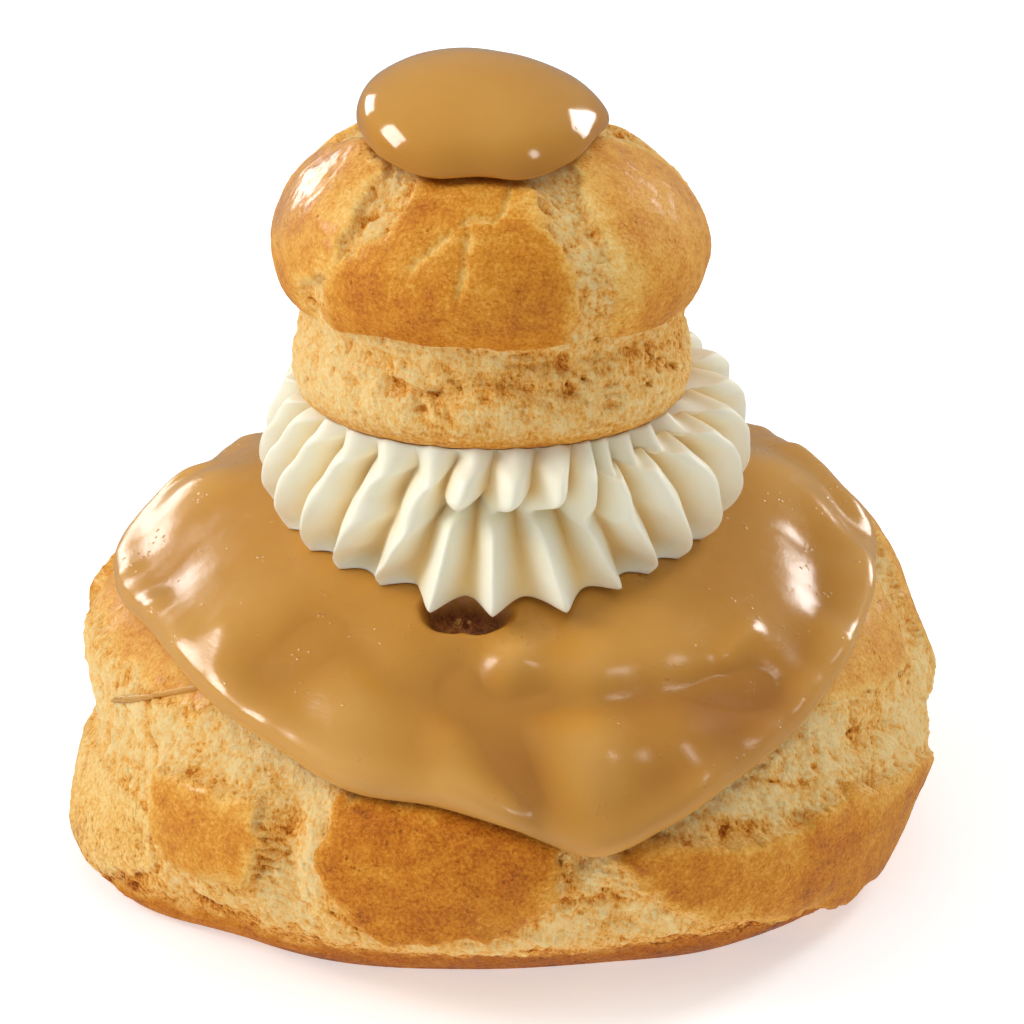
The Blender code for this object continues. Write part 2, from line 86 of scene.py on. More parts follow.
camera = bpy.data.objects.new("camera", bpy.data.cameras.new("camera"))
bpy.context.scene.collection.objects.link(camera)
camera.data.sensor_width = SENSOR
camera.data.lens = SENSOR * DISTANCE / (FRAME_PIXELS * PIXEL)
camera.data.clip_start, camera.data.clip_end = 0.01, 20.0
tilt = math.radians(ELEVATION)
camera.location = (LOOK_AT + DISTANCE * Vector((0, -math.cos(tilt), math.sin(tilt)))) * MM
camera.rotation_euler = (math.radians(90) - tilt, 0, 0)
bpy.context.scene.camera = camera
print("lens, mm:", round(camera.data.lens, 1))

# %% [markdown]
# ## Light and floor
#
# The pastry stands in a bright studio: a white surround fills the shadows, one square softbox stands to the
# left and another to the right. Glossy icing shows a light as a small bright window, so its size and place
# are seen directly. That is why the lights are split: large soft ones that only matte light comes from, and
# small strong ones that only gloss mirrors. Each is an area light, turned towards the middle of the pastry.

# %% Softboxes, surround and floor
SOFTBOXES = {  # azimuth, elevation, distance and side in mm, watts, and what it lights
    "left_box": (-84.0, 38.0, 900.0, 400.0, 4.1, "matte"),
    "left_window": (-98.0, 30.0, 900.0, 340.0, 4.6, "gloss"),
    "left_rim_window": (-144.0, 11.0, 900.0, 240.0, 1.2, "gloss"),
    "right_box": (122.0, 40.0, 900.0, 260.0, 2.6, "matte"),
    "right_window": (134.0, 19.0, 900.0, 270.0, 2.4, "gloss"),
    "front_window": (72.0, 46.0, 900.0, 120.0, 0.36, "gloss"),
    "overhead": (-30.0, 78.0, 1000.0, 1100.0, 3.6, "matte"),
}
SURROUND = 0.29
SURROUND_COLOUR = (1.0, 0.99, 0.975, 1.0)  # a touch warmer than white
FLOOR_SIDE = 6000.0


def add_softbox(name, azimuth, elevation, distance, side, watts, lights):
    lamp = bpy.data.lights.new(name, "AREA")
    lamp.shape = "SQUARE"
    lamp.size = side * MM
    lamp.energy = watts
    box = bpy.data.objects.new(name, lamp)
    turn, rise = math.radians(azimuth), math.radians(elevation)
    away = Vector((math.sin(turn) * math.cos(rise), -math.cos(turn) * math.cos(rise), math.sin(rise)))
    box.location = (LOOK_AT + away * distance) * MM
    box.rotation_euler = away.to_track_quat("Z", "Y").to_euler()
    box.visible_glossy = lights == "gloss"
    box.visible_diffuse = lights == "matte"
    bpy.context.scene.collection.objects.link(box)


for box_name, values in SOFTBOXES.items():
    add_softbox(box_name, *values)

world = bpy.data.worlds.new("studio")
world.use_nodes = True
backdrop = world.node_tree.nodes["Background"]
backdrop.inputs["Color"].default_value = SURROUND_COLOUR
backdrop.inputs["Strength"].default_value = SURROUND
bpy.context.scene.world = world
bpy.context.scene.view_settings.view_transform = "Standard"

floor_builder = bmesh.new()
bmesh.ops.create_grid(floor_builder, x_segments=1, y_segments=1, size=FLOOR_SIDE / 2 * MM)
floor = bpy.data.objects.new("floor", bpy.data.meshes.new("floor"))
floor_builder.to_mesh(floor.data)
floor_builder.free()
bpy.context.scene.collection.objects.link(floor)
floor.visible_glossy = False  # the icing mirrors the surround, not the floor
floor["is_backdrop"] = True
print("lights:", sorted(SOFTBOXES))

# %% [markdown]
# ## Writing a material as arithmetic
#
# A procedural material is a sum: a bit of this noise, times that mask, through a colour ramp. Node by node
# that is long to write, so a `Wire` wraps one socket and its `+ - *` add the Math nodes. A `Finish` is one
# material, with one method that adds any node. What is the same all over a surface is set on the shader.

# %% Wires and finishes


def paint(red, green, blue):
    """A colour from 0 to 255, as on a screen, in the linear values that Blender mixes."""
    return tuple(((c / 255 + 0.055) / 1.055) ** 2.4 for c in (red, green, blue)) + (1.0,)


class Wire:
    """One socket that gives a number. Python's operators on it add Math nodes."""

    def __init__(self, finish, socket):
        self.finish, self.socket = finish, socket

    def math(self, operation, *values):
        return self.finish.node("ShaderNodeMath", {"operation": operation}, dict(enumerate(values)))

    def __add__(self, other):
        return self.math("ADD", self, other)

    def __sub__(self, other):
        return self.math("SUBTRACT", self, other)

    def __rsub__(self, other):
        return self.math("SUBTRACT", other, self)

    def __mul__(self, other):
        return self.math("MULTIPLY", self, other)

    __radd__ = __add__
    __rmul__ = __mul__

    def step(self, low, high):
        """0 at low, 1 at high, smooth between; low may be above high."""
        settings = {"interpolation_type": "SMOOTHSTEP"}
        inputs = {"Value": self, "From Min": low, "From Max": high}
        return self.finish.node("ShaderNodeMapRange", settings, inputs)

    def ramp(self, *stops):
        """A colour read from stops of (place, red, green, blue), in the order of their places."""
        stops = [(at, paint(*colour)) for at, *colour in stops]
        ends_first = stops[:1] + stops[-1:] + stops[1:-1]  # a new ramp already has two stops, its ends
        return self.finish.node("ShaderNodeValToRGB", {"stops": ends_first}, {"Fac": self})


class Finish:
    """A material, and the nodes that are added to it."""

    def __init__(self, name, **fixed):
        self.material = bpy.data.materials.new(name)
        self.material.use_nodes = True
        self.nodes = self.material.node_tree.nodes
        self.links = self.material.node_tree.links
        self.shader = self.nodes["Principled BSDF"]
        for socket, value in fixed.items():
            self.shader.inputs[socket.replace("_", " ")].default_value = value
        self.place = self.node("ShaderNodeTexCoord", {}, {}, "Object")

    def feed(self, socket, value):
        if isinstance(value, Wire):
            self.links.new(value.socket, socket)
        else:
            socket.default_value = value

    def node(self, kind, settings, inputs, output=0):
        made = self.nodes.new(kind)
        for setting, value in settings.items():
            if setting == "stops":
                stops = made.color_ramp.elements
                for number, (at, colour) in enumerate(value):
                    stop = stops[number] if number < 2 else stops.new(at)
                    stop.position, stop.color = at, colour
            else:
                setattr(made, setting, value)
        for name, value in inputs.items():
            self.feed(made.inputs[name], value)
        return Wire(self, made.outputs[output])

    def attribute(self, name):
        return self.node("ShaderNodeAttribute", {"attribute_name": name}, {}, "Fac")

    def grain(self, size, detail=3.0, rough=0.5, place=None):
        """Noise from 0 to 1, with features of a size in millimetres."""
        inputs = {"Vector": place or self.place, "Scale": 1 / (size * MM)}
        return self.node("ShaderNodeTexNoise", {}, inputs | {"Detail": detail, "Roughness": rough})

    def cells(self, size):
        """Distance to the nearest of many scattered points, in cells of a size in millimetres."""
        return self.node("ShaderNodeTexVoronoi", {}, {"Vector": self.place, "Scale": 1 / (size * MM)})

    def stretched(self, across, up):
        """The place on the piece with its patterns drawn out across or up."""
        return self.node("ShaderNodeMapping", {}, {"Vector": self.place, "Scale": (across, across, up)})

    def blend(self, share, first, second):
        """The first colour where the share is 0, the second where it is 1."""
        return self.node("ShaderNodeMix", {"data_type": "RGBA"}, {0: share, 6: first, 7: second}, 2)

    def bump(self, height, depth):
        """Relief finer than the mesh: depth in millimetres for a height of 1."""
        return self.node("ShaderNodeBump", {}, {"Height": height, "Distance": depth * MM, "Strength": 1.0})

    def use(self, **wires):
        for socket, value in wires.items():
            self.feed(self.shader.inputs[socket.replace("_", " ")], value)


floor_finish = Finish("floor", Roughness=0.9, Specular_IOR_Level=0.1, Emission_Strength=0.52)
floor_finish.use(
    Base_Color=floor_finish.grain(40.0, 2.0).ramp((0.3, 216, 217, 218), (0.7, 219, 220, 221)),
    Emission_Color=(1.0, 1.0, 1.0, 1.0),
)
floor.data.materials.append(floor_finish.material)
print("floor finish nodes:", len(floor_finish.nodes))

# %% [markdown]
# ## Forms from numbers
#
# Nothing here has straight edges, so every piece starts as a ball, a UV sphere, and each of its points is
# moved to where the dough, icing or cream is. A point of the ball is known by its azimuth and by its share,
# 0 at the top of the ball and 1 at the bottom. A form is a function of those two. NumPy works on all the
# points at once.

# %% Small tools


def smooth_step(low, high, value):
    share = np.clip((value - low) / (high - low), 0.0, 1.0)
    return share * share * (3.0 - 2.0 * share)


def bell(distance, half_width):
    return np.exp(-((distance / half_width) ** 2))


def curve(here, there, leave, arrive, t, span=1.0):
    """A smooth curve from here to there as t goes from 0 to 1, with the slopes at its two ends."""
    eased = here * (1 + 2 * t) * (1 - t) ** 2 + there * t * t * (3 - 2 * t)
    return eased + span * (leave * t * (1 - t) ** 2 - arrive * t * t * (1 - t))


def around(places, azimuth):
    """A value that runs smoothly round the piece through given (azimuth, value) pairs."""
    at, value = (np.array(column, float) for column in zip(*places))
    at = np.concatenate([at - 360, at, at + 360])
    value = np.tile(value, 3)
    slope = np.gradient(value, at)
    azimuth = (np.asarray(azimuth, float) + 180.0) % 360.0 - 180.0
    left = np.clip(np.searchsorted(at, azimuth, side="right") - 1, 0, len(at) - 2)
    span = at[left + 1] - at[left]
    t = (azimuth - at[left]) / span
    return curve(value[left], value[left + 1], slope[left], slope[left + 1], t, span)


def apart(azimuth, centre):
    """Signed difference of two azimuths, in degrees."""
    return (azimuth - centre + 180.0) % 360.0 - 180.0


def to_xyz(azimuth, from_axis, height):
    turn = np.radians(azimuth)
    return np.stack([from_axis * np.sin(turn), -from_axis * np.cos(turn), height + 0.0 * turn], axis=-1)


def solid_grain(points, size, seed):
    """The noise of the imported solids, from about -1 to 1: large unevenness lies where theirs does."""
    shift = Vector((17.0 * seed, 5.0 * seed, 11.0 * seed))
    values = [noise.noise(Vector(p) + shift) for p in np.asarray(points, float).reshape(-1, 3) / size]
    return np.array(values).reshape(np.shape(points)[:-1])


DIRECTIONS = np.random.default_rng(7).normal(size=(4096, 3))
DIRECTIONS /= np.linalg.norm(DIRECTIONS, axis=1, keepdims=True)
LUCK = np.random.default_rng(8).random((4096, 4))


def corner_row(corner, seed):
    """A row of the two tables above for each corner of a cubic lattice, always the same one."""
    x, y, z = (corner[..., axis] for axis in range(3))
    mixed = x * 73856093 ^ y * 19349663 ^ z * 83492791 ^ seed * 2654435  # large primes scatter the corners
    mixed = (mixed ^ (mixed >> 13)) * 1274126177
    return (mixed ^ (mixed >> 16)) & 4095


def grain(points, size, seed):
    """Fine noise, about -1 to 1, of a size: one number, or one for each axis. A seed picks the noise."""
    place = np.asarray(points, float) / size
    base = np.floor(place).astype(np.int64)
    part = place - base
    fade = part**3 * (part * (part * 6 - 15) + 10)
    total = np.zeros(place.shape[:-1])
    for corner in itertools.product((0, 1), repeat=3):
        weight = np.prod(np.where(corner, fade, 1 - fade), axis=-1)
        total += weight * np.sum(DIRECTIONS[corner_row(base + corner, seed)] * (part - corner), axis=-1)
    return 1.5 * total


def threads(points, size, seed):
    """Noise with sharp crests and round hollows, from -1 to 1, like torn dough."""
    return 1.0 - 2.4 * np.abs(grain(points, size, seed))


def holes(points, size, largest, share, seed):
    """Scattered round holes: 1 in the middle of one, 0 outside. The share says how many cells have one."""
    place = np.asarray(points, float) / size
    base = np.floor(place).astype(np.int64)
    found = np.zeros(len(place))
    for step in itertools.product((-1, 0, 1), repeat=3):
        luck = LUCK[corner_row(base + step, seed)]
        reach = largest * (0.4 + 0.6 * luck[:, 3] / share) / size
        away = np.linalg.norm(base + step + luck[:, :3] - place, axis=-1)
        found = np.maximum(found, (1.0 - (away / reach) ** 2) * (luck[:, 3] < share))
    return found


def depth_inside(along, up, corners):
    """Distance in millimetres from each point to an outline: positive inside it, negative outside."""
    nearest = np.full(np.shape(along), 1e9)
    inside = np.zeros(np.shape(along), bool)
    for (a0, u0), (a1, u1) in zip(corners, corners[1:] + corners[:1]):
        da, du = a1 - a0, u1 - u0
        share = np.clip(((along - a0) * da + (up - u0) * du) / (da * da + du * du), 0, 1)
        nearest = np.minimum(nearest, np.hypot(along - a0 - share * da, up - u0 - share * du))
        crosses = (u0 > up) != (u1 > up)
        inside ^= crosses & (along < a0 + (up - u0) * da / (du if du else 1e-9))
    return np.where(inside, nearest, -nearest)


def distance_to_path(points, path):
    """Distance of each point from a line through the path's points, all of them in two or three axes."""
    nearest = np.full(len(points), 1e9)
    path = np.array(path, float)
    for start, end in zip(path[:-1], path[1:]):
        along = end - start
        share = np.clip((points - start) @ along / (along @ along), 0, 1)
        nearest = np.minimum(nearest, np.linalg.norm(points - start - share[:, None] * along, axis=1))
    return nearest


BALL_CUTS = 4  # a ball is made coarse and each of its edges is cut into this many: that is much quicker


def ball_order(place, columns, rows):
    """A number that grows round each row of a ball and from row to row."""
    row = math.atan2(math.hypot(place.x, place.y), place.z) * rows / math.pi
    column = math.atan2(place.x, -place.y) * columns / math.tau
    return round(4 * row) * 4 * columns + round(4 * column) % (4 * columns)


def make_piece(name, form, columns, rows, finish, node):
    """Moves a ball to a form, which returns points and named values for the material, and dresses it."""
    builder = bmesh.new()
    bmesh.ops.create_uvsphere(
        builder, u_segments=columns // BALL_CUTS, v_segments=rows // BALL_CUTS, radius=1.0
    )
    bmesh.ops.subdivide_edges(builder, edges=builder.edges, cuts=BALL_CUTS - 1, use_grid_fill=True)
    # The operators leave points and faces in another order each time, so they are sorted.
    builder.verts.sort(key=lambda vert: ball_order(vert.co, columns, rows))
    builder.faces.sort(key=lambda face: ball_order(face.calc_center_median(), columns, rows))
    mesh = bpy.data.meshes.new(name)
    builder.to_mesh(mesh)
    builder.free()
    ball = np.empty(len(mesh.vertices) * 3)
    mesh.vertices.foreach_get("co", ball)
    x, y, z = ball.reshape(-1, 3).T
    azimuth = np.round(np.degrees(np.arctan2(x, -y)) * columns / 360) * 360 / columns
    share = np.round(np.arctan2(np.hypot(x, y), z) * rows / np.pi) / rows
    points, values = form(azimuth, share)
    mesh.vertices.foreach_set("co", (points * MM).ravel())
    for label, numbers in values.items():
        mesh.attributes.new(label, "FLOAT", "POINT").data.foreach_set("value", numbers.astype(np.float32))
    return dress(name, mesh, finish, node)


def dress(name, mesh, finish, node):
    """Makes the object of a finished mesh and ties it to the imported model."""
    mesh.update()
    mesh.shade_smooth()
    mesh.materials.append(finish.material)
    made = bpy.data.objects.new(name, mesh)
    bpy.context.scene.collection.objects.link(made)
    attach(made, "root")
    if node:
        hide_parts(node)
    print(name, "triangles:", sum(len(p.vertices) - 2 for p in mesh.polygons))
    return made


# %% [markdown]
# ## A choux bun
#
# Choux dough sets into a skin while the inside is still swelling, so the skin breaks into plates and pale
# crumb shows between them. A bun here is a profile turned about its axis, with soft bulges. On that skin
# each plate is an outline of a few corners. Inside an outline the crust stands out, smooth and browned,
# outside it the crumb lies lower, with threads and holes.

# %% The skin of a bun


def smooth_path(points, count):
    """Points along a smooth path through the given ones, evenly spaced by length, and that length."""
    points = np.array(points, float)
    slopes = np.gradient(points, axis=0)
    fine = np.linspace(0, len(points) - 1, 40 * len(points))
    left = np.minimum(fine.astype(int), len(points) - 2)
    path = curve(points[left], points[left + 1], slopes[left], slopes[left + 1], (fine - left)[:, None])
    length = np.concatenate([[0], np.cumsum(np.hypot(*np.diff(path, axis=0).T))])
    even = np.linspace(0, length[-1], count)
    return np.stack([np.interp(even, length, path[:, k]) for k in (0, 1)], axis=-1), length[-1]


class Bun:
    """The smooth skin of one bun. A place on it is an azimuth and a share, 0 at the top, 1 underneath."""

    def __init__(self, profile, bulges=()):
        path, self.length = smooth_path(profile, 600)
        self.from_axis, self.height = path[:, 0], path[:, 1]
        self.share = np.linspace(0, 1, len(path))
        step = np.gradient(path, axis=0)
        size = np.hypot(step[:, 0], step[:, 1])
        self.out, self.up = -step[:, 1] / size, step[:, 0] / size
        self.bulges = bulges
        self.radius = self.from_axis.max()
        self.waist = self.share[np.argmax(self.from_axis)]

    def at(self, azimuth, share):
        """Distance from the axis and height of the skin, and the two parts of the way it faces."""
        tables = self.from_axis, self.height, self.out, self.up
        from_axis, height, out, up = (np.interp(share, self.share, table) for table in tables)
        stands = 0.0
        for centre, level, half_width, half_height, rise in self.bulges:
            spread = (apart(azimuth, centre) / half_width) ** 2 + ((height - level) / half_height) ** 2
            stands = stands + rise * np.exp(-spread)
        return from_axis + out * stands, height + up * stands, out, up

    def raised(self, azimuth, share, above):
        """The points that lie a given distance above the skin."""
        from_axis, height, out, up = self.at(azimuth, share)
        return to_xyz(azimuth, from_axis + out * above, height + up * above)

    def share_at_height(self, height):
        return np.interp(-np.asarray(height, float), -self.height, self.share)

    def share_at_reach(self, reach, below=False):
        """Share of the place on the upper side, or on the underside, at a distance from the axis."""
        widest = np.argmax(self.from_axis)
        if below:
            return np.interp(reach, self.from_axis[widest:][::-1], self.share[widest:][::-1])
        return np.interp(reach, self.from_axis[: widest + 1], self.share[: widest + 1])

    def sideways(self, azimuth, centre):
        """Millimetres round the skin from an azimuth."""
        return np.radians(apart(azimuth, centre)) * self.radius

    def on_skin(self, azimuth, share, centre):
        """Millimetres round from an azimuth, and up from the widest level."""
        return self.sideways(azimuth, centre), (self.waist - share) * self.length

    def plate_depth(self, azimuth, share, corners):
        """How deep inside a crust plate each point lies, in millimetres on the skin."""
        centre = sum(a for a, _ in corners) / len(corners)
        outline = [self.on_skin(a, self.share_at_height(h), centre) for a, h in corners]
        return depth_inside(*self.on_skin(azimuth, share, centre), outline)

    def crack_distance(self, azimuth, share, path):
        """Distance from a thin crack, given as (azimuth, height) points, in millimetres on the skin."""
        centre = path[0][0]
        line = [self.on_skin(a, self.share_at_height(h), centre) for a, h in path]
        return distance_to_path(np.stack(self.on_skin(azimuth, share, centre), axis=-1), line)


# %% Crust and crumb
DRAWN_UP = 0.42  # how far the crumb is drawn up to a plate's edge, as a share of the plate's step
THREADS_UPRIGHT = np.array([1.3, 1.3, 2.3])  # torn dough hangs in upright threads


def quarter_round(share):
    """Rises from 0 to 1 like the side of a rounded edge."""
    return np.sqrt(1 - (1 - np.clip(share, 0, 1)) ** 2)


def crust_relief(bun, azimuth, share, plates, lift, tear, cracks=()):
    """Height above the skin, and for the finish how far each point is crust, how baked, and the crumb's tone
    with its painted shade.
    """
    from_axis, height, _, _ = bun.at(azimuth, share)
    points = to_xyz(azimuth, from_axis, height)
    wobble = 0.9 * solid_grain(points, 5.0, 1) + 0.5 * solid_grain(points, 2.2, 2)
    ragged = 0.55 * grain(points, 1.6, 5) + 0.45 * grain(points, 0.75, 6)
    softness = 0.8 + 1.7 * smooth_step(-0.1, 0.3, grain(points, 8.0, 27))
    stand, crust, baked = (np.zeros_like(from_axis) for _ in range(3))
    inside = np.full_like(from_axis, -9.0)  # how deep inside a plate, or how far outside them all
    for part, tone, cover, corners in plates.values():
        depth = bun.plate_depth(azimuth, share, corners) + wobble + ragged
        levels = [h for _, h in corners]
        low = smooth_step(0.45, 0.1, (height - min(levels)) / (max(levels) - min(levels)))
        rounding = softness * (0.7 + 0.9 * low)
        stand = np.maximum(stand, part * quarter_round((depth + 0.3) / rounding))
        crust = np.maximum(crust, cover * smooth_step(-0.6, 0.7 * softness, depth))
        baked = np.where(depth > inside, tone, baked)
        inside = np.maximum(inside, depth)
    for path in cracks:
        opened = bell(bun.crack_distance(azimuth, share, path) + 0.6 * ragged, 0.3)
        stand *= 1 - 0.2 * opened
        crust *= 1 - 0.2 * opened
        baked -= 0.3 * opened
    baked -= 0.26 * bell(np.maximum(inside, 0) / softness, 0.9)  # a plate's own edge is paler
    stand = np.maximum(stand, DRAWN_UP * bell(np.minimum(inside, 0), 2.4))
    crags = 0.3 * solid_grain(points, 4.0, 3) + 0.2 * solid_grain(points, 2.0, 4)
    crevice = bell(grain(points, 6.5, 22), 0.07) * smooth_step(0.0, 0.3, grain(points, 8.0, 23))
    crackle = bell(grain(points, 2.6, 24), 0.1)
    torn = 0.15 * threads(points, THREADS_UPRIGHT, 7) + 0.13 * threads(points, 0.7, 8)
    torn += 0.17 * grain(points, 0.45, 9)
    pits = 0.42 * holes(points, 3.4, 0.8, 0.16, 10) + 0.3 * holes(points, 1.4, 0.5, 0.25, 11)
    skin = 0.05 * grain(points, 0.7, 12) + 0.12 * grain(points, 3.2, 13)
    bare = 1.0 - smooth_step(0.25, 0.75, crust)
    relief = stand * (lift + tear) - tear + (1 - bare) * skin
    relief += bare * (crags + torn - pits - 0.24 * crevice - 0.1 * crackle)
    # The crumb's tone: paler on its crests, darker and more orange in pits, crevices and cracks. That is
    # partly its own colour and partly painted shade in the hollows. Next to a plate's raised edge the darker
    # tone is painted shade.
    crumb_tone_and_shade = 0.3 - 1.0 * torn - 0.25 * crags + 0.6 * pits + 0.35 * crevice + 0.15 * crackle
    crumb_tone_and_shade += 0.2 * bell(np.minimum(inside, 0), 1.2)
    return relief, {"crust": crust, "baked": baked, "crumb_tone_and_shade": crumb_tone_and_shade}


def gloss_patches(azimuth, height, patches):
    """How far the crust shines in each patch of (azimuth, height, half width, half height, strength)."""
    return sum(
        strength * bell(apart(azimuth, centre), half_width) * bell(height - level, half_height)
        for centre, level, half_width, half_height, strength in patches
    )


# %% [markdown]
# ### The finish of baked choux
#
# Two colours of dough meet in one material. Crust runs from straw at a plate's edge to amber and brown where
# the oven caught it, speckled with pinholes that are painted darker for the shade in them. Crumb is cream on
# its crests and orange in its hollows, partly its own colour and partly painted shade in pits, crevices,
# dents and grooves, and under the foot. Where butter or egg wash is left on the crust it shines, which is a
# coat over it. The mesh carries what is where, as values for the crust, how baked it is, the crumb's tone
# with its painted shade, and the gloss, and noise adds what is finer.

# %% The choux finish


def choux_finish(name):
    finish = Finish(
        name, Subsurface_Weight=0.1, Subsurface_Radius=(1.0, 0.5, 0.2), Subsurface_Scale=0.001,
        Specular_IOR_Level=0.14, Coat_Roughness=0.2, Coat_IOR=1.5,
    )
    crust, baked, crumb_tone_and_shade, glossy = map(finish.attribute, ("crust", "baked", "crumb_tone_and_shade", "glossy"))
    sand = finish.grain(0.34, 3.0, 0.7)
    fine = finish.grain(0.6, 5.0, 0.7)
    mottle = finish.grain(1.7, 4.0, 0.6)
    patches = finish.grain(6.5, 3.0)
    dashes = finish.grain(0.75, 3.0, 0.6, finish.stretched(0.6, 1.8)).step(0.58, 0.72)
    fibre = finish.grain(0.45, 4.0, 0.7, finish.stretched(1.2, 0.55))
    pinholes = finish.cells(0.8).step(0.28, 0.1) * finish.grain(2.2, 2.0).step(0.54, 0.68)
    shown = (crust + (fine - 0.5) * 1.1).step(0.25, 0.65)
    tone = baked + (sand - 0.5) * 0.9 + (mottle - 0.5) * 0.5 + (patches - 0.5) * 0.5
    # the pinholes are dents, painted darker as the shade in them
    tone = tone + dashes * 0.14 + pinholes * 0.2
    crust_colour = tone.ramp(
        (0.0, 252, 216, 140), (0.25, 243, 186, 90), (0.5, 224, 149, 47), (0.75, 197, 112, 25),
        (1.0, 144, 72, 16),
    )
    # the crumb's tone, with the painted shade of its hollows, read through the crumb ramp
    depth = crumb_tone_and_shade + (fibre - 0.5) * 1.4 + (sand - 0.5) * 1.1
    depth = depth + (mottle - 0.5) * 0.4 + (patches - 0.5) * 0.5
    crumb_colour = depth.ramp(
        (0.0, 255, 223, 158), (0.28, 255, 206, 126), (0.52, 247, 180, 84), (0.78, 216, 132, 40),
        (1.0, 154, 74, 16),
    )
    crust_grain = sand + fine * 0.6 + mottle * 0.6 - pinholes * 0.8
    crumb_grain = fibre * 2.2 + sand
    finish.use(
        Base_Color=finish.blend(shown, crumb_colour, crust_colour),
        Roughness=0.82 - 0.36 * shown + (fine - 0.5) * 0.2,
        Coat_Weight=shown * (mottle * 0.6 + patches * 0.6 + glossy).step(0.55, 1.05) * (0.5 + fine),
        Normal=finish.bump(shown * crust_grain + (1 - shown) * crumb_grain, 0.16),
    )
    return finish


choux = choux_finish("choux_crust")
print("choux finish nodes:", len(choux.nodes))

# %% [markdown]
# ## The large bun
#
# It rose unevenly: a lobe spilled out low on the left, the crown leans forward, and the foot is drawn in at
# the front. Those are a handful of bulges on one profile. The plates are the ones of the solid model, so the
# fine skin lies where the solid is.

# %% Sizes of the large bun
LARGE_PROFILE = (  # distance from the axis and height, from the top down to the flat foot
    (0, 35.4), (8, 35.1), (16, 34.0), (23, 32.0), (29, 29.0), (33.5, 25.3), (36.8, 21.0), (38.6, 16.8),
    (39.1, 12.5), (38.8, 8.5), (37.6, 4.6), (35.6, 1.8), (33.2, 0.2), (31, 0), (15, 0), (0, 0),
)
LARGE_LEAN = 0.05  # the dome's fall towards the front, in mm for each mm
LARGE_BACK = 0.04  # how far its back is pressed in, as a share
LARGE_BULGES = (  # azimuth, height, half width in degrees, half height, how far it stands out
    (-74, 5.4, 17, 4.0, 2.8), (-61, 2.3, 11, 2.4, 1.3), (-84, 12.9, 14, 2.6, -1.4),
    (-96, 20.0, 20, 5.0, 1.7), (112, 24, 28, 5.6, 2.6), (88, 13.7, 17, 5.0, 2.0), (58, 3, 14, 2.6, 0.6),
    (150, 10, 24, 7.0, 1.2), (-150, 12, 26, 8.0, 1.0),
)
FOOT_TUCK = (  # azimuth, share by which the foot draws in under the bun
    (-180, 0.02), (-60, 0.0), (-35, 0.06), (-5, 0.15), (20, 0.14), (38, 0.06), (60, 0.0), (120, 0.03),
)
LARGE_LIFT = 0.9  # how far a crust plate stands above the skin
LARGE_TEAR = 1.3  # how far the torn crumb lies below it
LARGE_PLATES = {  # share of the lift, how dark it is, how whole its skin is, corners (azimuth, height)
    "front_left": (1.0, 0.46, 1.0, (
        (-53, 18), (-35, 20.5), (-33, 16), (-34, 10.5), (-43, 9), (-53, 10.8),
    )),
    "front": (1.0, 0.68, 1.0, (
        (-23, 21.5), (-4, 23), (8, 19), (8, 14), (2, 9.4), (-21, 8.8), (-25, 15),
    )),
    "front_right": (1.0, 0.6, 1.0, (
        (15, 17), (21, 18.8), (34, 15.3), (44, 15.6), (54, 16), (73, 12.6), (89, 8.5), (87, 2), (60, 2.6),
        (28, 7.8),
    )),
    "right_upper": (0.6, 0.34, 0.85, ((57, 24), (73, 26), (90, 26), (88, 22), (80, 19.5), (69, 20.5))),
    "right_side": (0.8, 0.5, 1.0, ((91, 22), (104, 25), (121, 22), (120, 10), (102, 9), (94, 13))),
    "left_lobe": (0.6, 0.14, 0.5, (
        (-93, 10), (-78, 12.5), (-63, 14), (-54, 13), (-53, 7), (-66, 3.5), (-86, 4),
    )),
    "left_upper": (0.4, 0.42, 0.62, (
        (-116, 27), (-70, 27), (-47, 26.5), (-55, 23.6), (-75, 22), (-97, 19.5), (-114, 20),
    )),
    "back_right_low": (0.8, 0.5, 0.9, ((100, 6), (124, 8), (142, 7), (140, 2.5), (118, 2), (101, 3))),
    "back_right": (1.0, 0.6, 1.0, ((128, 22), (146, 24), (166, 20), (168, 11), (150, 9.5), (130, 11))),
    "back": (1.0, 0.66, 1.0, ((174, 18), (190, 22), (214, 19), (216, 10), (196, 6), (172, 8))),
    "back_left": (1.0, 0.55, 1.0, ((223, 20), (244, 23), (257, 19), (256, 10), (240, 6.5), (222, 9))),
}
LARGE_DENTS = (  # azimuth, height, half width and half height in mm, how far it sinks, how much darker it is painted, as shade in it
    (-30.0, 18.4, 1.5, 2.3, 0.7, 0.35), (-25.6, 15.5, 1.2, 4.5, -0.3, -0.45),
    (-46.0, 5.4, 1.8, 0.8, 0.6, 0.6), (-61.0, 23.6, 2.0, 1.0, 0.3, 0.45), (-72.0, 15.0, 0.9, 3.0, 0.5, 0.45),
    (-57.0, 8.5, 0.9, 2.6, 0.5, 0.5), (33.0, 17.5, 3.0, 1.0, 0.3, 0.25), (62.0, 19.0, 1.2, 2.0, 0.4, 0.35),
    (10.0, 14.0, 1.0, 3.0, 0.3, 0.3), (150.0, 8.0, 2.0, 1.2, 0.6, 0.5), (205.0, 4.0, 2.5, 0.9, 0.5, 0.4),
    (-125.0, 7.0, 1.5, 3.0, 0.6, 0.4),
)
LARGE_GLOSS = ((-72.0, 25.0, 20.0, 4.0, 0.1),)  # azimuth, height, half width, half height, strength
FOOT_CRUST, FOOT_TONE = 0.85, 0.72  # how whole and how dark the skin of the flat foot is, dark partly as painted shade under the bun
COMB_AZIMUTH, COMB_HEIGHT, COMB_PITCH = -32.4, 14.8, 1.0  # a row of short torn ribs beside the left plate
CRATER_AZIMUTH, CRATER_FROM_AXIS = -8.5, 21.2  # a hole left in the icing at the front of the collar
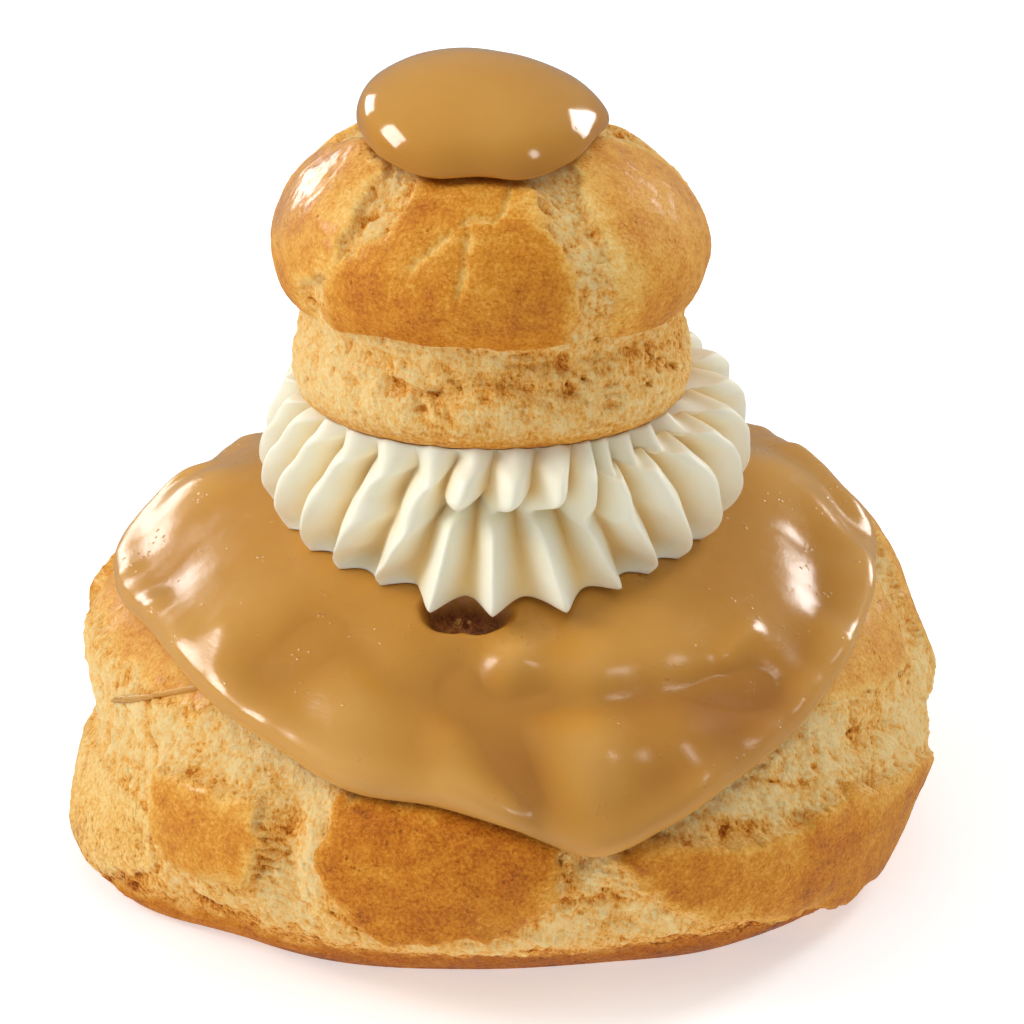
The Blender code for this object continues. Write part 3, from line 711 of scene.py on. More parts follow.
CRATER_WIDE, CRATER_LONG = 3.7, 1.9  # its half sizes, across and along a meridian
CRATER_DEEP = 2.6  # how far the top of the icing sinks in it
CRATER_UNDER = 1.9  # how far the underside of the icing sinks
CRATER_BUN = 2.0  # how far the bun below it sinks
ICING_EDGE = (  # height of the edge at each azimuth: a long tongue in front, shallow scallops elsewhere
    (-180, 25.6), (-150, 23.6), (-125, 26.8), (-112, 27.2), (-101, 24.2), (-88, 24.2), (-70, 25.6),
    (-47, 24.8), (-34, 23.9), (-21, 22.3), (-8, 22.0), (2, 20.4), (13, 17.7), (22, 19.1), (33, 21.2),
    (48, 23.0), (64, 24.6), (84, 25.5), (98, 25.4), (118, 27.6), (140, 25.2), (160, 26),
)
large_bun = Bun(LARGE_PROFILE, LARGE_BULGES)
print("large bun, widest radius:", round(float(large_bun.radius), 1))

# %% The large bun's form


def lean(points):
    """Lowers the front of the large bun's dome, lifts its back and presses the back in."""
    points[..., 1] *= 1.0 - LARGE_BACK * smooth_step(22.0, 36.0, points[..., 1])
    weight = smooth_step(8.0, 32.0, points[..., 2])
    points[..., 2] += LARGE_LEAN * points[..., 1] * weight
    return points


def crater(azimuth, from_axis, widen):
    """1 in the middle of the hole in the icing, 0 away from it."""
    across = np.radians(apart(azimuth, CRATER_AZIMUTH)) * CRATER_FROM_AXIS / (CRATER_WIDE * widen)
    lengthways = (from_axis - CRATER_FROM_AXIS) / (CRATER_LONG * widen)
    return np.exp(-((across**2 + lengthways**2) ** 1.5))


def icing_edge_share(azimuth):
    return large_bun.share_at_height(around(ICING_EDGE, azimuth))


def large_choux(azimuth, share):
    share = np.interp(share, (0.0, 0.05, 0.92, 1.0), (0.0, 0.3, 0.75, 1.0))  # most rows where it shows
    from_axis, height, _, _ = large_bun.at(azimuth, share)
    relief, values = crust_relief(large_bun, azimuth, share, LARGE_PLATES, LARGE_LIFT, LARGE_TEAR)
    bare = 1.0 - smooth_step(0.3, 0.8, values["crust"])
    for centre, level, half_width, half_height, sinks, shade_darker in LARGE_DENTS:
        mark = bell(large_bun.sideways(azimuth, centre), half_width) * bell(height - level, half_height)
        relief -= sinks * bare * mark
        # the dent's crumb is painted darker, as the shade in it
        values["crumb_tone_and_shade"] += shade_darker * bare * mark
    skin_point = to_xyz(azimuth, from_axis, height)
    rows = np.cos(2 * np.pi * (height + 0.5 * grain(skin_point, 2.0, 28)) / COMB_PITCH)
    beside = bell(large_bun.sideways(azimuth, COMB_AZIMUTH), 1.4) * bell(height - COMB_HEIGHT, 3.6)
    relief += 0.25 * bare * beside * (rows + 1.0)
    # painted shade: the crumb darker in the grooves between the ribs and paler on them
    values["crumb_tone_and_shade"] += bare * beside * (0.14 - 0.24 * rows)
    past_edge = (share - icing_edge_share(azimuth)) * large_bun.length
    shown = smooth_step(-2.0, 0.5, past_edge)
    raised = smooth_step(0.0, 1.8, past_edge)
    relief = np.minimum(relief, 0.0) * shown + np.maximum(relief, 0.0) * raised
    relief *= smooth_step(0.0, 3.5, height + 0.3)
    relief -= CRATER_BUN * crater(azimuth, from_axis, 1.3) * (height > 20)
    points = large_bun.raised(azimuth, share, relief)
    tuck = 1.0 - around(FOOT_TUCK, azimuth) * smooth_step(8.0, 0.0, height)
    points[..., :2] *= tuck[..., None]
    flat_foot = share > large_bun.share_at_height(0.25)
    points[..., 2] = np.where(flat_foot, 0.0, np.maximum(points[..., 2], 0.0))
    low = smooth_step(9.0, 2.0, height)  # painted shade: the crumb darker and more orange near the foot, under the bun's overhang, most on the right
    values["crumb_tone_and_shade"] += 0.5 * low + (0.32 * low - 0.03) * smooth_step(-10, 40, azimuth)
    # the flat foot is crust, painted darker in part for the shade under the bun
    foot = smooth_step(4.0, 1.6, height + 0.9 * grain(points, 2.5, 16))
    values["baked"] += (FOOT_TONE - values["baked"]) * foot + 0.03 * smooth_step(14.0, 21.0, height)
    values["crust"] = np.maximum(values["crust"], FOOT_CRUST * foot)
    values["glossy"] = gloss_patches(azimuth, height, LARGE_GLOSS)
    return lean(points), values


make_piece("large_choux_crust", large_choux, 720, 132, choux, "large_choux")

# %% [markdown]
# ## Poured coffee icing
#
# Fondant is poured over the bun and runs until it sets. It keeps the swells of the dough under it, gathers
# into a round bead at its edge, and folds where one run passes over another. The piece is a closed skin: the
# upper part of the ball becomes its top, the lower part the side that lies on the bun.

# %% Sizes of the icing
ICING_THICK = 1.2
ICING_BEAD = 0.5  # extra thickness of the rounded edge
ICING_LIP = 1.5  # width of the rounding at the edge
ICING_SWELLS = (  # azimuth, distance from the axis, half width, height: where the icing lies thick or thin
    (-37, 26.6, 3.4, -1.0), (-43, 31.0, 3.6, -0.5), (-24, 31.8, 4.2, 0.8), (-53, 27.0, 4.0, 0.6),
    (-6, 28.4, 2.8, -1.0), (2.5, 26.4, 2.3, 1.3), (14, 33.6, 3.8, 1.9), (27, 34.0, 3.6, 1.0),
    (18, 27.2, 2.6, 0.6), (33, 26.5, 4.0, 0.5), (46, 34.0, 3.2, -0.4), (64, 33.0, 3.2, 1.1),
    (78, 32.0, 3.4, 0.8), (-63, 31.0, 3.6, 0.4), (-78, 30.0, 4.0, -0.4), (-104, 29.0, 5.0, 1.2),
    (104, 25.5, 4.6, 1.3), (150, 30, 6.0, 0.8), (-150, 29, 6.0, -0.6),
)
ICING_FOLDS = (  # a path of (azimuth, distance from the axis), its half width, and its height
    (((2, 28.4), (13, 30.2), (26, 30.4), (38, 31.2), (47, 32.4)), 2.0, -1.1),
    (((-2, 30.5), (2, 33.5), (5.5, 36.5), (7.5, 38.6)), 2.1, -1.2),
    (((-10, 32.0), (-3, 35.6), (3, 38.0)), 1.6, 0.6),
    (((86, 27.8), (76, 30.0), (66, 31.0), (55, 32.2)), 2.4, -0.75),
    (((97, 28.0), (88, 31.0), (78, 32.8), (68, 33.6)), 1.6, 0.6),
    (((41, 29.6), (46.5, 28.8), (52, 28.4)), 0.9, 0.45),
    (((118, 30.0), (108, 30.8), (98, 32.3)), 1.1, 0.6),
    (((-98, 24.0), (-106, 28.5)), 2.2, 0.4),
    (((-30, 26.0), (-20, 28.6), (-12, 29.6)), 1.8, -0.5),
    (((-58, 29.0), (-44, 33.0), (-36, 33.6)), 1.8, 0.4),
)
TONGUE_SHADE = (30.0, 24.0, 0.42)  # azimuth and half width of the thick tongue, and how much darker it is painted, as shade on its low front
TONGUE_SHADE_FROM, TONGUE_SHADE_TO = 28.0, 34.0  # distances from the axis between which the painted shade deepens

# %% The icing's form


def seen_from_above(azimuth, from_axis):
    return to_xyz(np.asarray(azimuth, float), from_axis, 0.0)[..., :2]


def icing_swell(azimuth, from_axis):
    """Waves in the icing, in millimetres: each is a bell over its place."""
    flat = seen_from_above(azimuth, from_axis)
    swell = np.zeros(np.shape(azimuth))
    for centre, reach, half_width, rise in ICING_SWELLS:
        swell += rise * bell(np.hypot(*(flat - seen_from_above(centre, reach)).T), half_width)
    return swell * smooth_step(12.0, 24.0, from_axis)


def icing_folds(azimuth, from_axis):
    """Ridges and troughs along their paths: each is a row of bells close enough to run together."""
    flat = seen_from_above(azimuth, from_axis)
    fold = np.zeros(np.shape(azimuth))
    for path, half_width, rise in ICING_FOLDS:
        middles, length = smooth_path([seen_from_above(*corner) for corner in path], 24)
        part = length / len(middles) / (half_width * math.sqrt(math.pi))
        for middle in middles:
            fold += rise * part * bell(np.hypot(*(flat - middle).T), half_width)
    return fold


def icing_thickness(azimuth, share):
    from_axis, _, _, _ = large_bun.at(azimuth, share)
    back = (icing_edge_share(azimuth) - share) * large_bun.length
    rim = to_xyz(azimuth, 36.0, 0.0)
    bead = (ICING_BEAD + 0.6 * grain(rim, 6.0, 25) + 0.12 * grain(rim, 2.8, 26)) * bell(back - 1.8, 1.7)
    return np.maximum(ICING_THICK + bead + icing_swell(azimuth, from_axis), 0.7)


def large_icing(azimuth, share):
    on_top = share <= 0.8
    part = np.interp(share, (0.0, 0.05, 0.58, 0.8, 0.84, 1.0), (0.0, 0.4, 0.92, 1.0, 0.98, 0.0))
    edge = icing_edge_share(azimuth)
    at = part * edge
    from_axis, _, _, _ = large_bun.at(azimuth, at)
    back = (edge - at) * large_bun.length
    rim = quarter_round(back / ICING_LIP)
    flat = to_xyz(azimuth, from_axis, 0.0)
    ripple = 0.05 * grain(flat, 4.0, 21) + 0.02 * grain(flat, 1.6, 22)
    thick = np.maximum(icing_thickness(azimuth, at) + icing_folds(azimuth, from_axis), 0.6) + ripple
    pit = crater(azimuth, from_axis, 1.0)
    pit = np.clip(pit * (1 + 0.6 * grain(flat, 2.2, 29)), 0, 1)
    crumb = 0.45 * threads(flat, 1.1, 23) * smooth_step(0.25, 0.7, pit)
    sunk = CRATER_DEEP * smooth_step(0.12, 0.75, pit) - crumb
    sunk_under = CRATER_UNDER * smooth_step(0.05, 0.5, crater(azimuth, from_axis, 1.15))
    above = np.where(on_top, thick * rim - sunk, -sunk_under)
    middle, half_width, darker = TONGUE_SHADE
    low = smooth_step(TONGUE_SHADE_FROM, TONGUE_SHADE_TO, from_axis)
    # painted shade on the low front of the tongue, which faces down and forwards
    tongue_shade = darker * bell(apart(azimuth, middle), half_width) * low
    values = {
        "crumb": smooth_step(0.3, 0.62, pit),
        # painted paler near the edge, a glow of light through the thin icing
        "rim": bell(back, 2.2) * on_top,
        # darker where thin and paler where thick: partly the crust showing through, partly painted shade in
        # the troughs
        "thick": np.clip(0.28 * (thick - ICING_THICK) + 0.5 - tongue_shade, 0, 1),
    }
    return lean(large_bun.raised(azimuth, at, GAP + above)), values


# %% [markdown]
# ### The finish of coffee icing
#
# Its own colour is almost even: milky coffee. It is painted darker where the icing is thin, in its troughs
# and on the low front of the tongue, and paler where it is thick: partly thick fondant hiding the crust,
# partly painted shade. Its edge is painted paler, a glow of light through the thin icing there.
# Its life is in the gloss. Fine scratches from the palette knife and tiny bubbles break the windows of
# light, so the relief of the material is very shallow and very fine.

# %% The icing finish


def icing_finish(name, roughness, scuffed):
    finish = Finish(
        name, IOR=1.48, Specular_IOR_Level=0.6, Subsurface_Weight=0.25, Subsurface_Radius=(1.0, 0.5, 0.2),
        Subsurface_Scale=0.002,
    )
    crumb, rim, thick = map(finish.attribute, ("crumb", "rim", "thick"))
    clouds = finish.grain(12.0, 3.0)
    fine = finish.grain(0.35, 4.0, 0.6)
    scratches = finish.grain(0.3, 3.0, 0.6, finish.stretched(0.12, 1.0))
    bubbles = finish.cells(0.7).step(0.34, 0.08) * finish.grain(3.0, 2.0).step(0.56, 0.68)
    # paler where the icing is thick, darker where thin: partly its own colour, partly painted shade
    depth = thick + (clouds - 0.5) * 0.35
    body = depth.ramp((0.1, 170, 110, 38), (0.5, 198, 140, 54), (0.9, 216, 163, 84))
    # painted paler at the edge, a glow of light through the thin icing there
    coat = finish.blend(rim * 0.6, body, paint(214, 162, 90))
    # the crumb in the hole, its dark end partly painted shade inside the hole
    torn = (fine * 0.6 + finish.grain(1.6, 3.0) * 0.4).ramp((0.35, 92, 40, 16), (0.65, 176, 112, 52))
    relief = scuffed * (bubbles * 0.7 + scratches * 0.2 + fine * 0.16) + crumb * fine * 3.0
    finish.use(
        Base_Color=finish.blend(crumb, coat, torn),
        Roughness=roughness + 0.6 * crumb + scuffed * (bubbles * 0.1 + fine * 0.1),
        Normal=finish.bump(relief, 0.06),
    )
    return finish


coffee = icing_finish("coffee_icing", 0.15, 1.3)
make_piece("large_coffee_icing", large_icing, 600, 132, coffee, "large_icing")

# %% [markdown]
# ### A strand of icing
#
# Where the ladle swung away, one thin strand of fondant fell across the torn crumb on the left. It is a ball
# drawn out along a path, thin at both ends, that lies on the relief of the crumb.

# %% The strand
STRAND = ((-73, 18.9), (-65.7, 21.4), (-58.6, 23.9), (-52.5, 25.9))  # (azimuth, height), from its tip
STRAND_RADIUS = 0.36
STRAND_ABOVE = 0.15  # how far its middle line lies above the crumb


def strand(azimuth, share):
    route = np.array(STRAND, float)
    steps = np.linspace(0, 1, len(route))
    round_the_bun, heights = (np.interp(share, steps, column) for column in route.T)
    at = large_bun.share_at_height(heights)
    relief, _ = crust_relief(large_bun, round_the_bun, at, LARGE_PLATES, LARGE_LIFT, LARGE_TEAR)
    radius = STRAND_RADIUS * np.sqrt(np.sin(np.pi * share)) * (1 + 0.3 * np.sin(9 * share))
    above = relief + STRAND_ABOVE + radius * np.cos(np.radians(azimuth))
    points = large_bun.raised(round_the_bun, at, above)
    points[..., 2] += radius * np.sin(np.radians(azimuth))
    flat = np.zeros(len(share))
    # the whole strand takes the edge's paler colour, the painted glow of light through thin icing
    return lean(points), {"crumb": flat, "rim": flat + 1.0, "thick": flat + 0.8}


make_piece("icing_strand", strand, 16, 96, coffee, None)

# %% [markdown]
# ## The small bun
#
# It is modelled in its own frame and then leaned back and moved into place, point by point, so that the
# finished object itself stays at the origin. Its cap of crust overhangs a waist of open crumb.

# %% Sizes of the small bun
SMALL_MIDDLE = (-0.7, 0.0, 59.9)
SMALL_TILT = 8.0
SMALL_SHEAR = -0.07  # the dome drifts to the left as it rises
SMALL_PROFILE = (
    (0, 12.3), (5, 12.0), (9.5, 10.8), (13.3, 8.6), (16.7, 5.7), (18.8, 2.3), (19.3, -0.2), (18.9, -2.4),
    (18.1, -4.3), (17.6, -6.0), (17.7, -8.2), (17.9, -10.4), (17.7, -12.4), (16.9, -14.1), (15.5, -15.0),
    (12, -15.5), (6, -15.7), (0, -15.8),
)
SMALL_LIFT = 0.7
SMALL_TEAR = 0.9
THREADS_LEVEL = np.array([2.2, 2.2, 0.9])  # in the waist the dough was pulled into level layers
SMALL_SKIRT = -5.0  # below this height there are no crust plates
SMALL_HEM = 2.4  # height over which their lower edge rounds inwards
SMALL_PLATES = {
    "front": (1.0, 0.52, 1.0, (
        (-24, 10), (8, 10), (16, 8.5), (21.5, 4), (24, -2), (23, -7), (-8, -7.5), (-50, -7), (-54, -3),
        (-30, 5),
    )),
    "left": (1.0, 0.46, 1.0, (
        (-97, 8), (-66, 10.2), (-43, 9), (-41, 5.4), (-46, 2.4), (-59, -2.0), (-61, -7), (-102, -7),
    )),
    "right": (0.9, 0.42, 1.0, (
        (34, 7), (32, 2), (33, -3.2), (30, -7), (74, -7), (102, -7), (98, 8), (64, 10.6), (40, 9.6),
    )),
    "back_right": (0.9, 0.5, 1.0, ((108, 9), (107, -7), (130, -7), (162, -7), (163, 4), (152, 9.5))),
    "back_left": (1.0, 0.5, 1.0, (
        (172, 9.8), (170, -7), (200, -7), (230, -7), (252, -7), (250, 8), (215, 10),
    )),
}
SMALL_CRACKS = (  # thin breaks in the plates, as (azimuth, height)
    ((11, 9.0), (7, 7.0), (3, 5.9), (-4, 6.1), (-11, 4.7), (-17, 3.3), (-21, 2.0)),
    ((-5, 5.4), (-6, 3.6), (-6.5, 1.8), (-8.5, 0.2)),
)
SMALL_HOLES = (  # azimuth, height, half width, depth of the larger holes in the waist
    (-16.5, -9.6, 0.7, 0.9), (-20, -10.8, 0.9, 0.9), (-35, -7.0, 1.3, 0.5), (23.6, -9.4, 0.7, 0.7),
    (-28, -9.2, 1.0, 0.5), (3, -8.7, 0.4, 0.5), (11, -7.4, 1.2, 0.3), (46, -8.8, 1.0, 0.4),
    (78, -8.0, 1.2, 0.5), (-64, -8.4, 1.1, 0.5), (120, -8.0, 1.2, 0.6), (165, -7.4, 1.4, 0.6),
    (-120, -8.8, 1.2, 0.6),
)
SMALL_LEDGE = -10.4  # the torn upper edge of the bun's baked foot
SMALL_GLOSS = ((-72, 5.0, 17, 4.5, 0.5), (62, 5.0, 20, 4.5, 0.1))  # as LARGE_GLOSS
CAP_REACH = (  # distance from the axis to the cap's rim: egg shaped, with the narrow end to the right
    (-180, 9.6), (-135, 9.8), (-95, 9.9), (-60, 11.2), (-38, 12.7), (-18, 13.7), (0, 13.4), (14, 13.8),
    (32, 13.0), (60, 11.3), (88, 10.9), (112, 10.0), (140, 8.8),
)
small_bun = Bun(SMALL_PROFILE)
print("small bun, widest radius:", round(float(small_bun.radius), 1))

# %% The small bun's form


def shear(points):
    points[..., 0] += SMALL_SHEAR * np.maximum(points[..., 2], 0.0)
    return points


def small_to_world(points):
    turn = math.radians(SMALL_TILT)
    x, y, z = points[..., 0], points[..., 1], points[..., 2]
    back = y * math.cos(turn) + z * math.sin(turn)
    height = z * math.cos(turn) - y * math.sin(turn)
    return np.stack([x, back, height], axis=-1) + np.array(SMALL_MIDDLE)


def small_choux(azimuth, share):
    share = np.interp(share, (0.0, 0.06, 0.93, 1.0), (0.0, 0.16, 0.76, 1.0))  # most rows where it shows
    from_axis, height, _, _ = small_bun.at(azimuth, share)
    relief, values = crust_relief(
        small_bun, azimuth, share, SMALL_PLATES, SMALL_LIFT, SMALL_TEAR, SMALL_CRACKS
    )
    hem = height + 0.5 * grain(to_xyz(azimuth, from_axis, 0.0), 6.0, 26)
    skirt = quarter_round((hem - SMALL_SKIRT) / SMALL_HEM)
    under_cap = 1 - smooth_step(-1.5, 0.8, from_axis - around(CAP_REACH, azimuth))
    points = to_xyz(azimuth, from_axis, height)
    ledge = SMALL_LEDGE + 2.2 * grain(points, 6.0, 14) + 0.9 * grain(points, 1.6, 16)
    shelf = smooth_step(0.5, -0.5, height - ledge)
    facing = 0.3 + 0.7 * bell(apart(azimuth, -6.0), 38.0)
    recess = 0.6 * facing * bell(height - ledge - 0.8, 1.1) + 0.4 * bell(height + 6.6, 1.3)
    open_crumb = 0.2 * threads(points, THREADS_LEVEL, 17) + 0.15 * threads(points, 0.7, 18)
    open_crumb += 0.25 * grain(points, 2.6, 19)
    pores = 0.5 * holes(points, 1.3, 0.45, 0.35, 15)
    dug = np.zeros(len(azimuth))
    for centre, level, half_width, depth in SMALL_HOLES:
        away = np.hypot(small_bun.sideways(azimuth, centre), (height - level) * 1.4)
        dug = np.maximum(dug, depth * bell(away + 0.25 * grain(points, 1.0, 21), half_width))
    waist = smooth_step(-15.0, -13.4, height) * (1 - skirt)
    bready = open_crumb * (1 - 0.3 * shelf) + 0.12 * shelf - recess * (1 - shelf) - dug - pores
    relief = (relief * skirt + waist * bready) * (1 - under_cap * (height > 0))
    kept = smooth_step(0.0, 0.45, skirt)
    toasted = 0.26 * shelf + 0.3 * smooth_step(-12.0, -14.4, height) - 0.5 * pores
    values["crust"] = np.maximum(values["crust"] * kept, toasted * (1 - kept))
    left_pale = 0.3 * bell(apart(azimuth, -60.0), 40.0)
    # The waist's crumb: darker in the recess under the ledge, in dug holes and in pores, which is painted
    # shade, and paler towards the left.
    crumb = np.clip(0.3 - 0.9 * open_crumb + 0.3 * recess + 0.5 * dug + 0.9 * pores - left_pale, 0, 1)
    values["crumb_tone_and_shade"] = values["crumb_tone_and_shade"] * kept + (1 - kept) * (crumb + 0.18)
    foot_tone = 0.26 + 0.2 * smooth_step(-12.5, -15.0, height)
    browned = 0.08 * smooth_step(4.0, -3.0, height)
    values["baked"] = values["baked"] * kept + foot_tone * (1 - kept) + browned
    values["glossy"] = kept * gloss_patches(azimuth, height, SMALL_GLOSS)
    return small_to_world(shear(small_bun.raised(azimuth, share, relief))), values


make_piece("small_choux_crust", small_choux, 480, 132, choux, "small_choux")

# %% [markdown]
# ## The icing cap
#
# The small bun is dipped, not poured: its cap is one thick drop with a round rim that stands free of the
# crust. The ball's upper half swells into the drop and its lower half is the side that touches the bun.

# %% The cap's form
CAP_SHIFT = -0.4
CAP_MIDDLE, CAP_RIM = 4.8, 2.5  # thickness
CAP_ROUND = 0.22  # the outer share of its reach over which the rim rounds


def small_icing(azimuth, share):
    on_top = share <= 0.5
    part = np.sin(np.radians(180 * np.where(on_top, share, 1 - share)))
    at = small_bun.share_at_reach(part * around(CAP_REACH, azimuth))
    rim = quarter_round((1 - part) / CAP_ROUND)
    middle = GAP + CAP_RIM / 2
    thick = CAP_MIDDLE + (CAP_RIM - CAP_MIDDLE) * part**2
    above = middle + rim * np.where(on_top, thick - CAP_RIM / 2, -CAP_RIM / 2)
    points = small_bun.raised(azimuth, at, above)
    points[..., 0] += CAP_SHIFT * smooth_step(GAP, 2.0, above) - 0.25 * np.maximum(above - 2.0, 0.0)
    none = np.zeros(len(part))
    # the cap's colour darker round its rim, painted shade where it turns down
    values = {"crumb": none, "rim": none, "thick": 0.62 - 0.3 * smooth_step(0.8, 1.0, part)}
    return small_to_world(shear(points)), values


clean_coffee = icing_finish("clean_coffee_icing", 0.09, 0.25)
make_piece("small_coffee_icing", small_icing, 256, 128, clean_coffee, "small_icing")

# %% [markdown]
# ## Piped buttercream
#
# A star nozzle leaves ridges. They run down from the small bun and flare out on the icing like petals, and
# at the front the ring's end overlaps its start, so there the ridges come in two tiers. Each ridge gets the
# same number of columns of the ball. A crest follows a row of stations, and between crests a groove is cut.

# %% Sizes of the collar
RIDGES = (
    -179, -167, -154, -141, -129, -117, -105, -93, -82, -70, -57, -45, -31.5, -15,
    -1.5, 14.5, 29, 41, 52, 64, 77, 89, 102, 115, 128, 140, 153, 166,
)
COLLAR_SEAT = 20.5  # distance from the axis where it leaves the icing
COLLAR_NECK = 16.6  # distance from the small bun's own axis where it leaves that bun's underside
# The crest of a ridge, down from just outside the neck: distance from the axis, and height above the seat.
CREST_LEFT = (
    (19.6, 10.8), (20.4, 9.7), (21.1, 8.0), (21.9, 6.3), (22.3, 4.7), (22.2, 2.9), (21.3, 1.2), (20.5, 0),
)
CREST_RIGHT = (
    (19.1, 10.3), (21.0, 10.5), (22.5, 9.2), (23.1, 7.4), (23.2, 5.4), (23.0, 3.4), (22.0, 1.4), (20.5, 0),
)
CREST_FRONT = (
    (19.8, 13.0), (21.6, 11.8), (22.0, 9.7), (18.9, 8.0), (20.6, 6.9), (22.7, 3.8), (24.1, 0.4), (20.5, 0),
)
VALLEY_DEPTH = (1.1, 2.6, 3.6, 3.9, 3.4, 3.8, 4.0, 3.8, 1.2)  # crest to valley, from the neck down
SWEEP = (  # azimuth of a tip, and how far right of it the crest lies: neck, above and below the fold, low
    (-150, 6, 4, 3, 1), (-90, 11, 7, 4, 1.5), (-57, 11, 7, 5, 2), (-31.5, 12.8, 8.6, 8.6, 3.5),
    (-15, 8.4, 5.3, 3.7, 1.5), (-1.5, 6, 4, -0.2, 0), (14.5, 2, -0.5, -6, -2), (29, -3, -6, -8, -3),
    (41, -9, -9, -9, -3), (64, -13, -9, -6, -2), (100, -10, -7, -4, -1), (150, -4, -3, -2, 0),
)
SHARP_VALLEY = (0.9, 0.9, 0.9, 0.9, 0.85, 0.7, 0.4, 0.1, 0.0)  # 1 for a crease between round crests
FRONT_MIDDLE, FRONT_HALF_WIDTH = 2.0, 26.0  # the stretch where the piped ring overlaps itself
RIGHT_MIDDLE = 135.0  # the middle of the stretch where the crests follow CREST_RIGHT
CREAM_GAP = 0.05
COLUMNS_PER_RIDGE = 24
COLLAR_ROWS = 80
ROOF_SHARE, FLOOR_SHARE = 0.06, 0.9  # where the collar's upper face ends and its underside begins
CREST_ROUND = 0.07  # how blunt a crest is

# %% The collar's form


def ridge_azimuth(turns):
    """Azimuth of the ridge numbered turns; a half is the valley between two ridges."""
    ends = np.array(RIDGES + (RIDGES[0] + 360,), float)
    return np.interp(turns, np.arange(len(ends)), ends)


def along(stations, place):
    """Smooth reading of a column of numbers, one for each station, at places from 0 to 1."""
    stations = np.array([np.broadcast_to(row, place.shape) for row in stations], float)
    slope = np.gradient(stations, axis=0)
    at = np.clip(place, 0, 1) * (len(stations) - 1)
    left = np.minimum(at.astype(int), len(stations) - 2)
    ends = (
        np.take_along_axis(table, (left + step)[None], axis=0)[0]
        for table in (stations, slope)
        for step in (0, 1)
    )
    return curve(*ends, at - left)


def collar_floor(azimuth, reach):
    """A point just above the icing at a distance from the axis."""
    share = large_bun.share_at_reach(reach)
    return lean(large_bun.raised(azimuth, share, 2 * GAP + icing_thickness(azimuth, share)))


def small_under(azimuth, reach):
    """A point just below the small bun, at a distance from that bun's axis, in the pastry's frame."""
    foot = small_to_world(np.array([0.0, 0.0, SMALL_PROFILE[-1][1]]))
    turn = np.radians(azimuth)
    aside = np.degrees(np.arcsin((foot[0] * np.cos(turn) + foot[1] * np.sin(turn)) / COLLAR_NECK))
    share = small_bun.share_at_reach(reach, below=True)
    return small_to_world(small_bun.raised(azimuth - aside, share, CREAM_GAP))


def groove_shape(turn, creased):
    """0 on a crest, 1 in the valley: a sharp crest and a round valley, or a round crest and a crease."""
    round_valley = np.sqrt(np.sin(np.pi * turn) ** 2 + CREST_ROUND**2) - CREST_ROUND
    crease = 1 - np.sqrt(np.cos(np.pi * turn) ** 2 + CREST_ROUND**2) + CREST_ROUND
    return round_valley * (1 - creased) + crease * creased


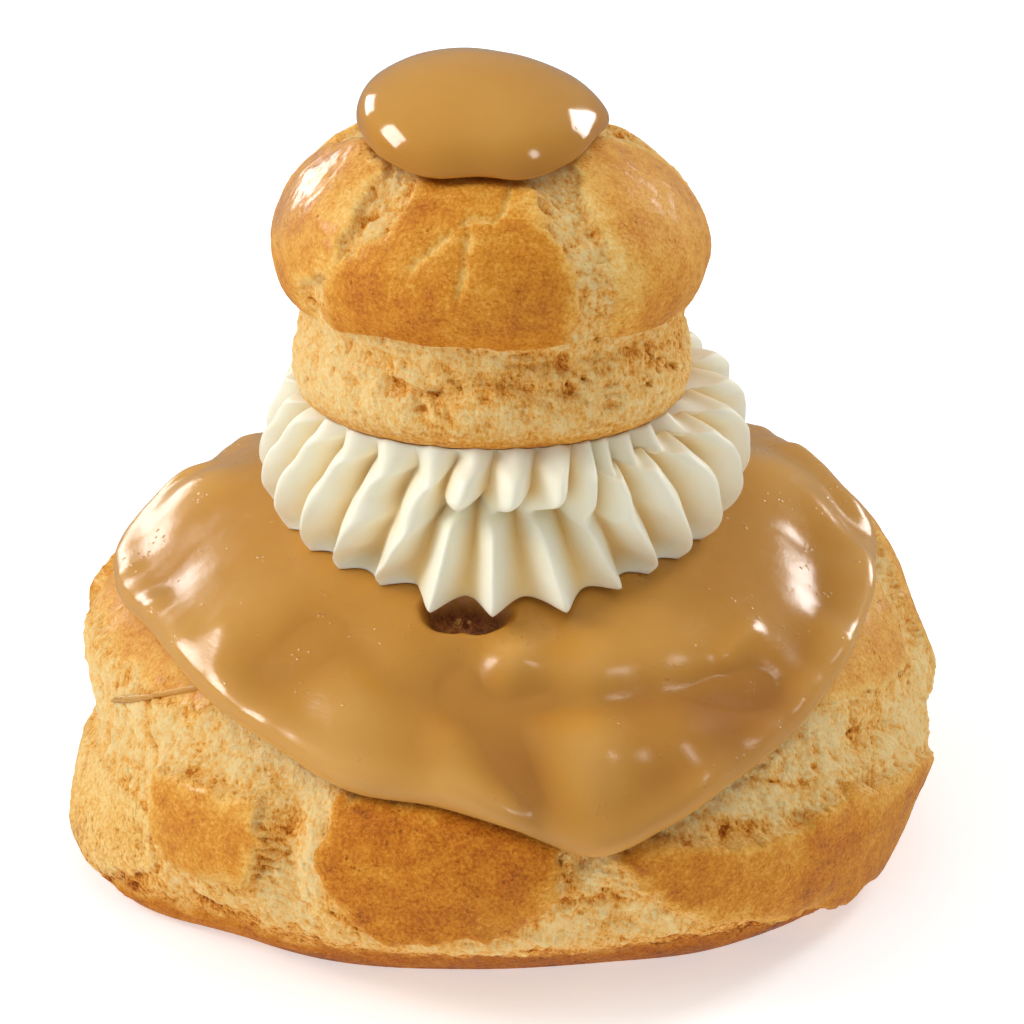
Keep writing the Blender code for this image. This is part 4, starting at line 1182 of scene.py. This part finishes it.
def collar(azimuth, share):
    turns = (azimuth % 360) / 360 * len(RIDGES)
    at = ridge_azimuth(turns)
    down = np.clip((share - ROOF_SHARE) / (FLOOR_SHARE - ROOF_SHARE), 0, 1)
    front = 1 - smooth_step(FRONT_HALF_WIDTH - 9, FRONT_HALF_WIDTH + 9, np.abs(apart(at, FRONT_MIDDLE)))
    right = (1 - smooth_step(70, 125, np.abs(apart(at, RIGHT_MIDDLE)))) * (1 - front)
    left = 1 - front - right
    creased = along(SHARP_VALLEY, down)
    valley = groove_shape(turns, creased)
    top, above, below, low = (around([(row[0], row[k]) for row in SWEEP], at) for k in range(1, 5))
    sweep = (top, top, (top + above) / 2, above, below, (below + low) / 2, low, 0, 0)
    at = at + along(sweep, down)
    seat = COLLAR_SEAT - VALLEY_DEPTH[-1] * valley
    floor_points = collar_floor(at, seat * np.clip((1 - share) / (1 - FLOOR_SHARE), 0, 1))
    neck = COLLAR_NECK - VALLEY_DEPTH[0] * valley
    roof_points = small_under(at, neck * np.clip(share / ROOF_SHARE, 0, 1) ** 0.2)
    start, end = small_under(at, neck), collar_floor(at, seat)
    reach, height = [np.hypot(start[..., 0], start[..., 1]) + VALLEY_DEPTH[0] * valley], [start[..., 2]]
    for on_left, on_right, in_front in zip(CREST_LEFT, CREST_RIGHT, CREST_FRONT):
        reach.append(left * on_left[0] + right * on_right[0] + front * in_front[0])
        height.append(end[..., 2] + left * on_left[1] + right * on_right[1] + front * in_front[1])
    groove = along(VALLEY_DEPTH, down) * valley
    flank = to_xyz(at, along(reach, down) - groove, along(height, down))
    flank += (0.06 * grain(flank, 1.8, 31) * bell(down - 0.5, 0.4))[:, None]
    side = np.where((share > FLOOR_SHARE)[..., None], floor_points, flank)
    points = np.where((share < ROOF_SHARE)[..., None], roof_points, side)
    return points, {"valley": groove / max(VALLEY_DEPTH)}


# %% The cream finish


def cream_finish(name):
    finish = Finish(
        name, Roughness=0.42, Subsurface_Weight=0.25, Subsurface_Radius=(1.0, 0.75, 0.35),
        Subsurface_Scale=0.0012, Specular_IOR_Level=0.4,
    )
    valley = finish.attribute("valley")
    clouds = finish.grain(3.0, 3.0)
    fine = finish.grain(0.45, 4.0, 0.6)
    # painted shade: the cream darker and yellower deep in the creases between the ridges
    tone = valley * valley * 0.85 + (clouds - 0.5) * 0.3 + (fine - 0.5) * 0.12
    finish.use(
        Base_Color=tone.ramp((0.05, 250, 246, 224), (0.85, 242, 208, 132)),
        Normal=finish.bump(clouds * 0.8 + fine * 0.25, 0.07),
    )
    return finish


cream = cream_finish("butter_cream")
COLLAR_COLUMNS = len(RIDGES) * COLUMNS_PER_RIDGE
make_piece("piped_cream", collar, COLLAR_COLUMNS, COLLAR_ROWS, cream, "cream_collar")

# %% [markdown]
# ## The sizes
#
# The dressed pastry is meant to be as large as the imported model, so both boxes are printed side by side.

# %% Print the two sizes
DRESSED_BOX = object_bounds()
for label, corners in (("solid", CAD_BOX), ("dressed", DRESSED_BOX)):
    print(label, [[round(x / MM, 2) for x in corner] for corner in corners])
